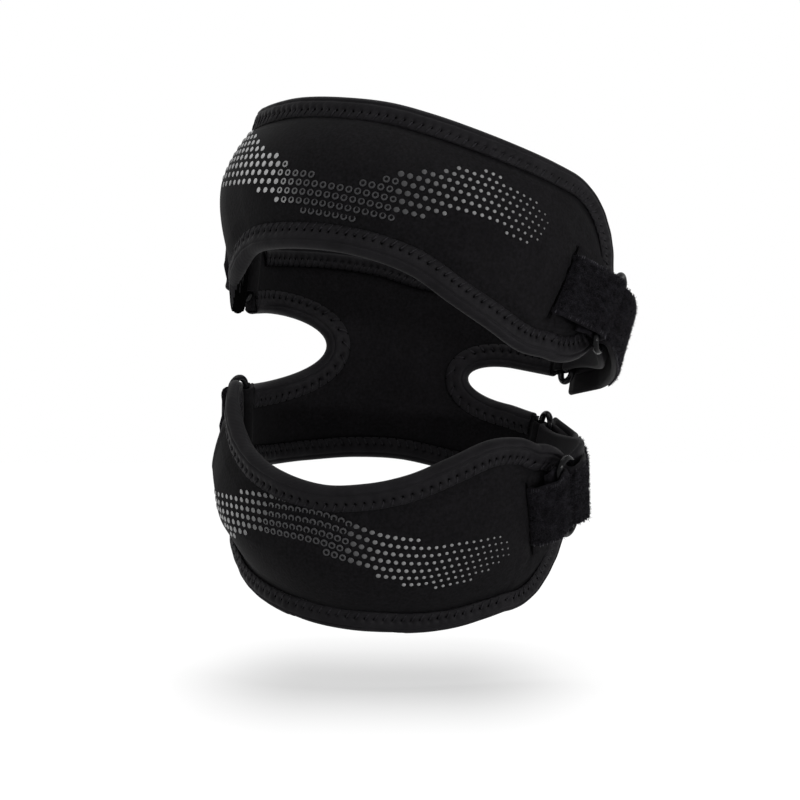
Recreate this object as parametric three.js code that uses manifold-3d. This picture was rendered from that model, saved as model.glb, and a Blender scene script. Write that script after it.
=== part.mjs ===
// Double-band knee strap: a padded band above the kneecap, one below it, and a soft panel behind the knee.
// Millimetres. +Z runs up the leg, -Y is the front of the knee and +X the right in front view.
// The origin lies on the leg's axis at the bend of the knee.
import * as THREE from "three";
import { mergeVertices } from "three/addons/utils/BufferGeometryUtils.js";
import Module from "manifold-3d";

// Half widths of the leg that the brace is worn round, at each height
const legRows = [
  { at: -75, left: 35.5, right: 54, front: 46, back: 45 },
  { at: -45, left: 42.9, right: 57, front: 49, back: 47 },
  { at: -15, left: 46.3, right: 58.5, front: 51, back: 48 },
  { at: 15, left: 49.8, right: 60, front: 53, back: 49 },
  { at: 45, left: 52.2, right: 60.5, front: 54, back: 50 },
  { at: 75, left: 49, right: 58, front: 53, back: 50 },
];
const legLean = 18; // degrees that thigh and shin lean back from a bent knee
const kneeRounding = 15; // height over which the two leans run into each other
const frontSquareness = 2; // 2 is an ellipse, more is a rounded square
const backSquareness = 2.8;

// Layers of the sewn edges, measured outward from the leg
const tapeWall = 0.7;
const sewnGap = 0.3;
const sheetThickness = 2.6;
const sheetInner = tapeWall + sewnGap;
const sheetOuter = sheetInner + sheetThickness;
const tapeOuter = sheetOuter + sewnGap + tapeWall;
const tapeWidth = 6.2; // how far the edge tape reaches in from the sheet's edge
const tapeRim = 0.9; // how far the edge tape stands past the sheet's edge

// Finished edges of the pads, by angle round the leg in degrees: 0 is the front, +90 the right side.
// Past the first and last row a pad rounds off to its tip, and the padding fades out over the last degrees
const pads = [
  {
    name: "upper_pad",
    edges: [
      { at: -84, top: 70, bottom: 16.5 },
      { at: -73, top: 70.4, bottom: 20.5 },
      { at: -60, top: 71.3, bottom: 25.8 },
      { at: -45, top: 72.6, bottom: 27.9 },
      { at: -27, top: 73, bottom: 28.6 },
      { at: -13, top: 72.6, bottom: 27.5 },
      { at: 0, top: 70.7, bottom: 24.4 },
      { at: 12, top: 68.4, bottom: 18.5 },
      { at: 24, top: 65.9, bottom: 13.1 },
      { at: 35, top: 63.5, bottom: 8.3 },
      { at: 44, top: 61.3, bottom: 7.4 },
    ],
    leftTip: { angle: -107.5, z: 29, roundness: 3.5, fade: 22 },
    rightTip: { angle: 66.5, z: 29, roundness: 2, fade: 42 },
  },
  {
    name: "lower_pad",
    edges: [
      { at: -82, top: -16, bottom: -60.3 },
      { at: -70, top: -22.3, bottom: -65 },
      { at: -56, top: -28.8, bottom: -70.2 },
      { at: -40, top: -33.5, bottom: -73.7 },
      { at: -20, top: -35.9, bottom: -76.4 },
      { at: -5, top: -33.7, bottom: -76.8 },
      { at: 8, top: -29.4, bottom: -76 },
      { at: 20, top: -23, bottom: -74.6 },
      { at: 31, top: -17, bottom: -72.2 },
      { at: 41, top: -15.2, bottom: -68.8 },
      { at: 48, top: -16.4, bottom: -66.2 },
    ],
    leftTip: { angle: -107.5, z: -28.5, roundness: 3.5, fade: 22 },
    rightTip: { angle: 66.4, z: -38.5, roundness: 2.2, fade: 40 },
  },
];
const padBulge = 5;
const padFrame = 7.4; // flat margin round the padding
const padTipFlat = 8; // degrees at a tip that have no padding
const padTipHeight = 3; // straight stretch left at a rounded tip

// Rear panel: its finished top and bottom edges, and the notch on each side
const panelEdges = [
  { at: 108, top: 27, bottom: -35 },
  { at: 125, top: 28.5, bottom: -34.3 },
  { at: 140, top: 30.5, bottom: -33 },
  { at: 157, top: 31.6, bottom: -31.9 },
  { at: 175, top: 32.2, bottom: -30.7 },
  { at: 193, top: 34.6, bottom: -32.1 },
  { at: 210, top: 34.7, bottom: -35.1 },
  { at: 228, top: 33.2, bottom: -38 },
  { at: 245, top: 31.5, bottom: -38.5 },
  { at: 258, top: 30.6, bottom: -37.5 },
];
const notches = [
  { apex: 206.9, end: 266, apexZ: 2.6, endZ: -4.5, half: 11.2, nose: 27 },
  { apex: 155.1, end: 100, apexZ: -0.9, endZ: -4.3, half: 6, nose: 15 },
];

// Oval rings and the webbing that folds round their bars
const ringWire = 1;
const ringHalfWidth = 3.2; // from the ring's middle to the middle of a bar
const ringStraight = 19;
const ringLift = 1.8; // how far a front ring stands off the pad's end
const barGap = 0.3;
const webbingWidth = 20;
const tabThickness = 1.2;
const strapThickness = 1.6;
const armEyeWall = 1.25; // sewn end of an arm round its ring's rear bar
const armEyeTail = 5;
const armEyeClear = 1.5; // from an eye to the end of an edge tape
const armEyeHeight = 18;
const innerPull = 0.8; // 1 is a strap that lies round, less is one that is pulled straight
const tabDip = 1; // how much lower the tab lies over the pad's end than over the ring
const tabTail = 3; // tab end sewn to itself where the pad's end is too near for it
const strapSewnEnd = 9; // strap end sewn to itself in front of the rear ring

// Where each band is fastened. Angles in degrees. A tilt turns a bar's top towards the back of the knee and
// a pitch turns the front bar outwards. A front ring is placed by its middle, a rear ring by the bar that its
// arm holds
const ringOverPad = tapeOuter + sewnGap + tabThickness + barGap + ringWire + ringLift;
const ringInArm = sheetInner + sheetThickness / 2;
const corners = [
  {
    name: "upper_right", pad: 0, side: 1,
    slit: { angle: 44.6, z: 28.8, tilt: 26 }, tuck: { angle: 53.8, z: 24.8 },
    front: { name: "upper_right_front_ring", angle: 59.4, z: 22, out: ringOverPad, tilt: 31, pitch: 14 },
    rear: { name: "upper_right_rear_ring", angle: 126, z: 14.2, out: ringInArm, tilt: 9, pitch: -18 },
    strapEndDrop: 5.5, outerPull: 0.45,
  },
  {
    name: "lower_right", pad: 1, side: 1,
    slit: { angle: 48.8, z: -37.5, tilt: -29 }, tuck: { angle: 53.2, z: -33 },
    front: { name: "lower_right_front_ring", angle: 56.4, z: -28.6, out: ringOverPad, tilt: -32, pitch: 10 },
    rear: { name: "lower_right_rear_ring", angle: 129.8, z: -20.8, out: ringInArm, tilt: -11, pitch: -30 },
    strapEndDrop: -1, outerPull: 0.08,
  },
  {
    name: "upper_left", pad: 0, side: -1,
    slit: { angle: -96, z: 33, tilt: 22 }, tuck: { angle: -105.5, z: 28 },
    rear: { name: "upper_left_ring", angle: -117.5, z: 24.2, out: ringInArm, tilt: 20, pitch: 25 },
  },
  {
    name: "lower_left", pad: 1, side: -1,
    slit: { angle: -95.5, z: -35, tilt: -20 }, tuck: { angle: -105.5, z: -30 },
    rear: { name: "lower_left_ring", angle: -117.5, z: -22, out: ringInArm, tilt: -18, pitch: 25 },
  },
];

const black = 0x17171a;
const finishes = {
  neoprene: new THREE.MeshStandardMaterial({ color: black, roughness: 0.9, metalness: 0 }),
  tape: new THREE.MeshStandardMaterial({ color: 0x232327, roughness: 0.8, metalness: 0 }),
  pile: new THREE.MeshStandardMaterial({ color: 0x1d1d20, roughness: 1, metalness: 0 }),
  ring: new THREE.MeshStandardMaterial({ color: 0x0c0c0d, roughness: 0.25, metalness: 0 }),
};

const radians = THREE.MathUtils.degToRad;
const lerp = THREE.MathUtils.lerp;

// Smooth curve through one column of a table, read at any value of its "at" column
function smooth(rows, column, at) {
  const last = rows.length - 1;
  const x = THREE.MathUtils.clamp(at, rows[0].at, rows[last].at);
  let i = 0;
  while (i < last - 1 && rows[i + 1].at <= x) i += 1;
  const slope = (k) => {
    const before = rows[Math.max(k - 1, 0)];
    const after = rows[Math.min(k + 1, last)];
    return (after[column] - before[column]) / (after.at - before.at);
  };
  const step = rows[i + 1].at - rows[i].at;
  const t = (x - rows[i].at) / step;
  const bend = t * t * (3 - 2 * t);
  const leave = t * (1 - t) * (1 - t) * step * slope(i);
  const arrive = t * t * (1 - t) * step * slope(i + 1);
  return lerp(rows[i][column], rows[i + 1][column], bend) + leave - arrive;
}

// Point on the leg, or a layer's height outward from it. A place has an angle in degrees and a height z
function onLeg(place) {
  const turn = radians(place.angle);
  const width = smooth(legRows, Math.sin(turn) < 0 ? "left" : "right", place.z);
  const depth = smooth(legRows, Math.cos(turn) > 0 ? "front" : "back", place.z);
  const behind = THREE.MathUtils.smoothstep(-Math.cos(turn), -0.2, 0.5);
  const power = lerp(frontSquareness, backSquareness, behind);
  const inverse = Math.abs(Math.sin(turn) / width) ** power + Math.abs(Math.cos(turn) / depth) ** power;
  const reach = inverse ** (-1 / power);
  const lean = Math.tan(radians(legLean)) * (Math.hypot(place.z, kneeRounding) - kneeRounding);
  return new THREE.Vector3(reach * Math.sin(turn), lean - reach * Math.cos(turn), place.z);
}

// Directions on the leg's surface: along the angle, up the leg, and straight out
function legFrame(place) {
  const step = 0.2;
  const across = (da, dz) => onLeg({ angle: place.angle + da, z: place.z + dz });
  const perAngle = across(step, 0).sub(across(-step, 0)).divideScalar(2 * step);
  const perZ = across(0, step).sub(across(0, -step)).divideScalar(2 * step);
  const out = new THREE.Vector3().crossVectors(perAngle, perZ).normalize();
  const along = perAngle.clone().normalize();
  const up = new THREE.Vector3().crossVectors(out, along);
  return { perAngle, perZ, along, up, out };
}

function layer(place, height) {
  return onLeg(place).addScaledVector(legFrame(place).out, height);
}

// Place reached from another one by a short move along the leg's surface
function slide(place, move) {
  const { perAngle, perZ } = legFrame(place);
  const aa = perAngle.dot(perAngle);
  const az = perAngle.dot(perZ);
  const zz = perZ.dot(perZ);
  const a = perAngle.dot(move);
  const z = perZ.dot(move);
  const area = aa * zz - az * az;
  return { angle: place.angle + (a * zz - z * az) / area, z: place.z + (z * aa - a * az) / area };
}

// Closed solid through a row of like sections; an open row is capped with the section's flat outline
function loft(sections, outline) {
  const count = sections[0].length;
  const points = sections.flat();
  const faces = [];
  const rows = outline ? sections.length - 1 : sections.length;
  for (let i = 0; i < rows; i += 1) {
    const here = i * count;
    const next = ((i + 1) % sections.length) * count;
    for (let j = 0; j < count; j += 1) {
      const k = (j + 1) % count;
      faces.push([here + j, here + k, next + k], [here + j, next + k, next + j]);
    }
  }
  if (outline) {
    const far = (sections.length - 1) * count;
    const outlineTurn = Math.sign(THREE.ShapeUtils.area(outline));
    for (const [a, b, c] of THREE.ShapeUtils.triangulateShape(outline, [])) {
      const turn = Math.sign(THREE.ShapeUtils.area([outline[a], outline[b], outline[c]]));
      const [p, q] = turn === outlineTurn ? [b, c] : [c, b];
      faces.push([a, q, p], [far + a, far + p, far + q]);
    }
  }
  return closedBody(points, faces);
}

// Geometry from points and triangles, turned so that its faces point outward
function closedBody(points, faces) {
  let volume = 0;
  for (const [a, b, c] of faces) {
    volume += points[a].dot(new THREE.Vector3().crossVectors(points[b], points[c]));
  }
  const index = faces.flatMap(([a, b, c]) => (volume > 0 ? [a, b, c] : [a, c, b]));
  const geometry = new THREE.BufferGeometry().setFromPoints(points);
  geometry.setIndex(index);
  return geometry;
}

// Joining and cutting of closed bodies
const wasm = await Module();
wasm.setup();

function toSolid(geometry) {
  const bare = geometry.clone();
  bare.deleteAttribute("normal");
  bare.deleteAttribute("uv");
  const merged = mergeVertices(bare, 1e-4);
  const mesh = new wasm.Mesh({
    numProp: 3,
    vertProperties: new Float32Array(merged.attributes.position.array),
    triVerts: new Uint32Array(merged.index.array),
  });
  return new wasm.Manifold(mesh);
}

function fromSolid(solid) {
  const mesh = solid.getMesh();
  const geometry = new THREE.BufferGeometry();
  geometry.setAttribute("position", new THREE.BufferAttribute(new Float32Array(mesh.vertProperties), 3));
  geometry.setIndex(new THREE.BufferAttribute(new Uint32Array(mesh.triVerts), 1));
  return geometry;
}

const brace = new THREE.Group();

function add(name, geometry, finish) {
  geometry.computeVertexNormals();
  const mesh = new THREE.Mesh(geometry, finish);
  mesh.name = name;
  brace.add(mesh);
}

// Edge tape: a folded channel round a sheet's edge. Places run along the edge, with the sheet on their left
// where side is 1
const tapeOutline = [
  [tapeWidth, tapeOuter], [0.2, tapeOuter], [-tapeRim, tapeOuter * 0.7], [-tapeRim, tapeOuter * 0.3],
  [0.2, 0], [tapeWidth, 0], [tapeWidth, tapeWall], [-sewnGap, tapeWall],
  [-sewnGap, tapeOuter - tapeWall], [tapeWidth, tapeOuter - tapeWall],
].map(([inward, out]) => new THREE.Vector2(inward, out));

function edgeTape(places, side, closed) {
  const last = places.length - 1;
  const sections = places.map((place, i) => {
    const before = closed ? places[(i + last) % places.length] : places[Math.max(i - 1, 0)];
    const after = closed ? places[(i + 1) % places.length] : places[Math.min(i + 1, last)];
    const travel = onLeg(after).sub(onLeg(before)).normalize();
    const inward = legFrame(place).out.cross(travel).multiplyScalar(side).normalize();
    return tapeOutline.map(({ x, y }) => layer(slide(place, inward.clone().multiplyScalar(x)), y));
  });
  return loft(sections, closed ? null : tapeOutline);
}

// Pads
function padEdges(pad, angle) {
  const first = pad.edges[0].at;
  const last = pad.edges[pad.edges.length - 1].at;
  const top = smooth(pad.edges, "top", angle) - tapeRim;
  const bottom = smooth(pad.edges, "bottom", angle) + tapeRim;
  const tip = angle < first ? pad.leftTip : pad.rightTip;
  const start = angle < first ? first : last;
  if (angle >= first && angle <= last) return { top, bottom };
  const along = Math.min((angle - start) / (tip.angle - start), 1);
  const half = ((top - bottom) / 2) * (1 - along ** tip.roundness) ** (1 / tip.roundness);
  const middle = lerp((top + bottom) / 2, tip.z, along);
  return { top: middle + half, bottom: middle - half };
}

// Shortest way in from an edge, where the edge slopes along the leg
function edgeShare(pad, edge, angle) {
  const here = { angle, z: padEdges(pad, angle)[edge] };
  const step = { angle: angle + 0.5, z: padEdges(pad, angle + 0.5)[edge] };
  const travel = onLeg(step).sub(onLeg(here));
  return 1 - Math.abs(travel.z) / travel.length() / 2;
}

// How far the pad's outer face stands from the leg
function padHeight(pad, place) {
  const { top, bottom } = padEdges(pad, place.angle);
  const inset = Math.min(
    (place.z - bottom) * edgeShare(pad, "bottom", place.angle),
    (top - place.z) * edgeShare(pad, "top", place.angle),
  );
  const depth = Math.max((top - bottom) / 2 - padFrame, 1);
  const away = 1 - THREE.MathUtils.clamp((inset - padFrame) / depth, 0, 1);
  const left = THREE.MathUtils.smoothstep(place.angle - pad.leftTip.angle, padTipFlat, pad.leftTip.fade);
  const right = THREE.MathUtils.smoothstep(pad.rightTip.angle - place.angle, padTipFlat, pad.rightTip.fade);
  return sheetOuter + padBulge * (1 - away * away) * left * right;
}

// Angles along a pad: even in the middle, closing in on the two rounded tips
function padStations(pad) {
  const stations = [];
  const first = pad.edges[0].at;
  const last = pad.edges[pad.edges.length - 1].at;
  const tipSteps = 6;
  const bodySteps = 22;
  const tipReach = (tip, start, k) => {
    const { top, bottom } = padEdges(pad, start);
    const left = padTipHeight / (top - bottom);
    const farthest = (1 - left ** tip.roundness) ** (1 / tip.roundness);
    return lerp(start, tip.angle, farthest * Math.sin((k / tipSteps) * (Math.PI / 2)));
  };
  for (let k = tipSteps; k > 0; k -= 1) stations.push(tipReach(pad.leftTip, first, k));
  for (let k = 0; k <= bodySteps; k += 1) stations.push(lerp(first, last, k / bodySteps));
  for (let k = 1; k <= tipSteps; k += 1) stations.push(tipReach(pad.rightTip, last, k));
  return stations;
}

function padBody(pad) {
  const crown = [0, 0.14, 0.32, 0.5, 0.68, 0.86, 1];
  const backs = [1, 0.66, 0.33, 0];
  const widestMargin = 0.3;
  const sections = padStations(pad).map((angle) => {
    const { top, bottom } = padEdges(pad, angle);
    const widest = widestMargin * (top - bottom);
    const margin = (edge) => Math.min(padFrame / edgeShare(pad, edge, angle), widest);
    const heights = crown.map((v) => lerp(bottom + margin("bottom"), top - margin("top"), v));
    const outer = [bottom, ...heights, top].map((z) => layer({ angle, z }, padHeight(pad, { angle, z })));
    const inner = backs.map((v) => layer({ angle, z: lerp(bottom, top, v) }, sheetInner));
    return [...outer, ...inner];
  });
  const outline = [
    ...[-1, ...crown, 2].map((v) => new THREE.Vector2(sheetThickness, v)),
    ...backs.map((v) => new THREE.Vector2(0, v)),
  ];
  return loft(sections, outline);
}

function padOutline(pad) {
  const stations = padStations(pad);
  const along = stations.map((angle) => ({ angle, z: padEdges(pad, angle).bottom }));
  const back = stations.map((angle) => ({ angle, z: padEdges(pad, angle).top })).reverse();
  return [...along, ...back];
}

for (const pad of pads) {
  add(pad.name, padBody(pad), finishes.neoprene);
  add(`${pad.name}_binding`, edgeTape(padOutline(pad), 1, true), finishes.tape);
}

// Directions at a place on the leg for a bar with a tilt: to the front, along the bar and outward
function barFrame(corner, place, tilt) {
  const { along, up, out } = legFrame(place);
  const ahead = along.multiplyScalar(-corner.side);
  const turn = radians(tilt);
  const bar = up.clone().multiplyScalar(Math.cos(turn)).addScaledVector(ahead, -Math.sin(turn));
  const fore = ahead.multiplyScalar(Math.cos(turn)).addScaledVector(up, Math.sin(turn));
  return { fore, bar, face: out };
}

// Frame of an oval ring round its middle, from its seat on the leg
function ringFrame(corner, seat) {
  const flat = barFrame(corner, seat, seat.tilt);
  const turn = radians(seat.pitch);
  const fore = flat.fore.clone().multiplyScalar(Math.cos(turn)).addScaledVector(flat.face, Math.sin(turn));
  const face = flat.face.clone().multiplyScalar(Math.cos(turn)).addScaledVector(flat.fore, -Math.sin(turn));
  const middle = layer(seat, seat.out);
  if (seat === corner.rear) middle.addScaledVector(fore, ringHalfWidth);
  return { middle, fore, bar: flat.bar, face };
}

function inFrame(frame, fore, face, bar = 0) {
  return frame.middle.clone().addScaledVector(frame.fore, fore).addScaledVector(frame.face, face)
    .addScaledVector(frame.bar, bar);
}

// Oval ring: two straight bars joined by round ends
function ovalRing(frame) {
  const wireSides = 6;
  const endSteps = 8;
  const sections = [];
  for (const end of [1, -1]) {
    for (let k = 0; k <= endSteps; k += 1) {
      const turn = Math.PI * (k / endSteps);
      const wire = [];
      for (let w = 0; w < wireSides; w += 1) {
        const around = (2 * Math.PI * w) / wireSides;
        const reach = end * (ringHalfWidth + ringWire * Math.cos(around));
        const bar = Math.sin(turn) * reach + (end * ringStraight) / 2;
        wire.push(inFrame(frame, Math.cos(turn) * reach, ringWire * Math.sin(around), bar));
      }
      sections.push(wire);
    }
  }
  return loft(sections, null);
}

// Flat webbing through a row of stations, each a point at mid thickness and the direction across it
function webbing(stations, thickness) {
  const last = stations.length - 1;
  const edges = [[-1, -1], [1, -1], [1, 1], [-1, 1]];
  const sections = stations.map(({ point, bar }, i) => {
    const before = stations[Math.max(i - 1, 0)].point;
    const after = stations[Math.min(i + 1, last)].point;
    const face = after.clone().sub(before).cross(bar).normalize();
    return edges.map(([w, t]) => point.clone().addScaledVector(bar, (w * webbingWidth) / 2)
      .addScaledVector(face, (t * thickness) / 2));
  });
  return loft(sections, edges.map(([w, t]) => new THREE.Vector2(w, t)));
}

// Half turn round a bar: from one face of the ring through the slot to the other face
function fold(frame, barAt, slot, thickness, startFace) {
  const steps = 6;
  const radius = ringWire + barGap + thickness / 2;
  const stations = [];
  for (let k = 0; k <= steps; k += 1) {
    const turn = Math.PI * (k / steps);
    const fore = barAt + slot * radius * Math.sin(turn);
    stations.push({ point: inFrame(frame, fore, startFace * radius * Math.cos(turn)), bar: frame.bar });
  }
  return stations;
}

// Free run of webbing between two stations, leaving and arriving along given directions
function freeRun(from, leave, to, arrive, steps, pull = 1) {
  const reach = from.point.distanceTo(to.point) * pull;
  const stations = [];
  for (let k = 1; k < steps; k += 1) {
    const t = k / steps;
    const point = from.point.clone().lerp(to.point, t * t * (3 - 2 * t))
      .addScaledVector(leave, reach * t * (1 - t) * (1 - t))
      .addScaledVector(arrive, -reach * t * t * (1 - t));
    stations.push({ point, bar: from.bar.clone().lerp(to.bar, t).normalize() });
  }
  return stations;
}

// Tab: pile webbing from the slit in the pad to the ring, round the ring's front bar and back
function tab(corner, frame, seat) {
  const pad = pads[corner.pad];
  const half = tabThickness / 2;
  const underside = tapeOuter + sewnGap + half;
  const station = (place, tilt, height) => ({
    point: layer(place, height), bar: barFrame(corner, place, tilt).bar,
  });
  const padSteps = 4;
  const barAway = (seat === corner.rear ? 2 : 1) * ringHalfWidth * Math.sin(radians(seat.pitch));
  const barHeight = seat.out + barAway + ringWire + barGap + half;
  const overPad = [];
  for (let k = 0; k <= padSteps; k += 1) {
    const t = k / padSteps;
    const angle = lerp(corner.slit.angle, corner.tuck.angle, t);
    const place = { angle, z: lerp(corner.slit.z, corner.tuck.z, t) };
    const overPadding = Math.max(padHeight(pad, place), tapeOuter) + 2 * sewnGap + half;
    const height = lerp(overPadding, barHeight - tabDip, t);
    overPad.push(station(place, lerp(corner.slit.tilt, seat.tilt, t), height));
  }
  const turned = fold(frame, ringHalfWidth, -1, tabThickness, 1);
  const turnedEnd = turned[turned.length - 1];
  const end = overPad[padSteps];
  const onward = end.point.clone().sub(overPad[padSteps - 1].point).normalize();
  const back = frame.fore.clone().negate();
  const outward = [...overPad, ...freeRun(end, onward, turned[0], back, 3), ...turned];
  if (!corner.front) {
    const tail = turnedEnd.point.clone().addScaledVector(frame.fore, tabTail);
    return webbing([...outward, { point: tail, bar: frame.bar }], tabThickness);
  }
  const tucked = station(corner.tuck, seat.tilt, underside);
  const homeward = freeRun(turnedEnd, frame.fore, tucked, onward.clone().negate(), 3);
  return webbing([...outward, ...homeward, tucked], tabThickness);
}

// Strap: sewn round the rear ring's front bar, then forward inside and back outside round the front ring
function strap(corner, front, rear) {
  const radius = ringWire + barGap + strapThickness / 2;
  const overSewn = radius + strapThickness + sewnGap;
  const straight = 2;
  const at = (frame, fore, face, bar = 0) => ({ point: inFrame(frame, fore, face, bar), bar: frame.bar });
  const backFrom = (frame) => frame.fore.clone().negate();
  const sewnEnd = at(rear, ringHalfWidth + strapSewnEnd, radius);
  const innerStart = at(rear, ringHalfWidth + straight, -radius);
  const innerEnd = at(front, -ringHalfWidth - straight, -radius);
  const outerStart = at(front, -ringHalfWidth - straight, radius);
  const overSeam = at(rear, ringHalfWidth + strapSewnEnd, overSewn + sewnGap, -corner.strapEndDrop);
  const overRing = at(rear, -ringHalfWidth, overSewn, -corner.strapEndDrop);
  return webbing([
    sewnEnd,
    ...fold(rear, ringHalfWidth, -1, strapThickness, 1),
    innerStart, ...freeRun(innerStart, rear.fore, innerEnd, front.fore, 8, innerPull), innerEnd,
    ...fold(front, -ringHalfWidth, 1, strapThickness, -1),
    outerStart, ...freeRun(outerStart, backFrom(front), overSeam, backFrom(rear), 8, corner.outerPull),
    overSeam,
    overRing,
  ], strapThickness);
}

// Body drawn with x to the front, y outward and z along the bar, set on the bar that an arm holds
function onArmBar(geometry, corner) {
  const { fore, bar, face } = barFrame(corner, corner.rear, corner.rear.tilt);
  const spin = new THREE.Matrix4().makeBasis(fore, face, bar.multiplyScalar(corner.side));
  return geometry.applyMatrix4(spin.setPosition(layer(corner.rear, corner.rear.out)));
}

// Sewn end of an arm: an eye round the ring's rear bar with a tail that runs into the arm
function armEye(corner) {
  const radius = ringWire + barGap + armEyeWall;
  const tail = 0.38 * sheetThickness;
  const opening = Math.asin(tail / radius);
  const shape = new THREE.Shape();
  shape.moveTo(-armEyeTail, -tail);
  shape.absarc(0, 0, radius, Math.PI + opening, 3 * Math.PI - opening, false);
  shape.lineTo(-armEyeTail, tail);
  const bore = new THREE.Path();
  bore.absarc(0, 0, ringWire + barGap, 0, 2 * Math.PI, true);
  shape.holes.push(bore);
  const extrusion = { depth: armEyeHeight, bevelEnabled: false, curveSegments: 10 };
  const geometry = new THREE.ExtrudeGeometry(shape, extrusion);
  return onArmBar(geometry.translate(0, 0, -armEyeHeight / 2), corner);
}

// Block that takes the sheet away in front of an arm's end
function armTrim(corner) {
  const length = 40;
  const throughSheet = 30;
  const height = 44;
  const endBehindBar = ringWire + barGap + armEyeWall / 2;
  const geometry = new THREE.BoxGeometry(length, throughSheet, height);
  return onArmBar(geometry.translate(length / 2 - endBehindBar, 0, 0), corner);
}

// Rear panel, as a band before its notches and arm ends are cut
function panelBand() {
  const steps = 24;
  const rises = [0, 0.22, 0.36, 0.45, 0.54, 0.63, 0.78, 1];
  const first = panelEdges[0].at;
  const last = panelEdges[panelEdges.length - 1].at;
  const sections = [];
  for (let k = 0; k <= steps; k += 1) {
    const angle = lerp(first, last, k / steps);
    const z = (v) => lerp(panelEdge("bottom", angle), panelEdge("top", angle), v);
    const outer = rises.map((v) => layer({ angle, z: z(v) }, sheetOuter));
    const inner = rises.map((v) => layer({ angle, z: z(v) }, sheetInner)).reverse();
    sections.push([...outer, ...inner]);
  }
  const outline = [
    ...rises.map((v) => new THREE.Vector2(sheetThickness, v)),
    ...rises.map((v) => new THREE.Vector2(0, v)).reverse(),
  ];
  return loft(sections, outline);
}

// Sheet's edge inside its tape
function panelEdge(edge, angle) {
  return smooth(panelEdges, edge, angle) + (edge === "top" ? -tapeRim : tapeRim);
}

// Upper and lower edge of a notch, from its round nose out to the arms' ends
function notchEdges(notch) {
  const noseSteps = 7;
  const armSteps = 5;
  const way = Math.sign(notch.end - notch.apex);
  const reach = Math.abs(notch.end - notch.apex);
  const smallest = 0.08;
  const runs = [];
  for (let k = 0; k <= noseSteps; k += 1) {
    runs.push(notch.nose * (1 - Math.cos(lerp(smallest, Math.PI / 2, k / noseSteps))));
  }
  for (let k = 1; k <= armSteps; k += 1) runs.push(lerp(notch.nose, reach, k / armSteps));
  return runs.map((run) => {
    const back = Math.max(1 - run / notch.nose, 0);
    const half = (notch.half + tapeRim) * Math.sqrt(1 - back * back);
    const middle = lerp(notch.apexZ, notch.endZ, run / reach);
    return { angle: notch.apex + way * (run - 1), top: middle + half, bottom: middle - half };
  });
}

function notchCutter(notch) {
  const inside = -4;
  const outside = 10;
  const outline = [[0, 0], [1, 0], [1, 1], [0, 1]].map(([x, y]) => new THREE.Vector2(x, y));
  const sections = notchEdges(notch).map(({ angle, top, bottom }) => [
    layer({ angle, z: bottom }, inside), layer({ angle, z: top }, inside),
    layer({ angle, z: top }, outside), layer({ angle, z: bottom }, outside),
  ]);
  return loft(sections, outline);
}

// Angle at which an edge tape stops short of an arm's eye, on the upper (1) or lower (-1) edge of the arm
function tapeStop(corner, edge) {
  const { fore, bar } = barFrame(corner, corner.rear, corner.rear.tilt);
  const clear = ringWire + barGap + armEyeWall + armEyeClear;
  const move = bar.multiplyScalar((edge * webbingWidth) / 2).addScaledVector(fore, -clear);
  return (slide(corner.rear, move).angle + 360) % 360;
}

const [upperRight, lowerRight, upperLeft, lowerLeft] = corners;
const [leftNotch, rightNotch] = notches;

function panelTape(edge, right, left, arm, side) {
  const steps = 20;
  const first = tapeStop(right, arm);
  const last = tapeStop(left, arm);
  const places = [];
  for (let k = 0; k <= steps; k += 1) {
    const angle = lerp(first, last, k / steps);
    places.push({ angle, z: panelEdge(edge, angle) });
  }
  return edgeTape(places, side, false);
}

function notchTape(notch, upper, lower, side) {
  const edges = notchEdges(notch);
  const way = Math.sign(notch.end - notch.apex);
  const within = (corner, arm) => edges.filter(({ angle }) => way * (tapeStop(corner, arm) - angle) > 0);
  const above = within(upper, -1).map(({ angle, top }) => ({ angle, z: top }));
  const below = within(lower, 1).map(({ angle, bottom }) => ({ angle, z: bottom }));
  return edgeTape([...above.reverse(), ...below], side, false);
}

let panel = toSolid(panelBand());
for (const notch of notches) panel = panel.subtract(toSolid(notchCutter(notch)));
for (const corner of corners) panel = panel.subtract(toSolid(armTrim(corner)));
for (const corner of corners) panel = panel.add(toSolid(armEye(corner)));
add("rear_panel", fromSolid(panel), finishes.neoprene);
add("rear_binding_top", panelTape("top", upperRight, upperLeft, 1, -1), finishes.tape);
add("rear_binding_bottom", panelTape("bottom", lowerRight, lowerLeft, -1, 1), finishes.tape);
add("rear_binding_left", notchTape(leftNotch, upperLeft, lowerLeft, -1), finishes.tape);
add("rear_binding_right", notchTape(rightNotch, upperRight, lowerRight, 1), finishes.tape);

for (const corner of corners) {
  const rear = ringFrame(corner, corner.rear);
  add(corner.rear.name, ovalRing(rear), finishes.ring);
  if (corner.front) {
    const front = ringFrame(corner, corner.front);
    add(corner.front.name, ovalRing(front), finishes.ring);
    add(`${corner.name}_tab`, tab(corner, front, corner.front), finishes.pile);
    add(`${corner.name}_strap`, strap(corner, front, rear), finishes.neoprene);
  } else {
    add(`${corner.name}_tab`, tab(corner, rear, corner.rear), finishes.pile);
  }
}

export default brace;
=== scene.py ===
import math

import bmesh
import bpy
import numpy as np
from mathutils import Matrix, Vector


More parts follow.
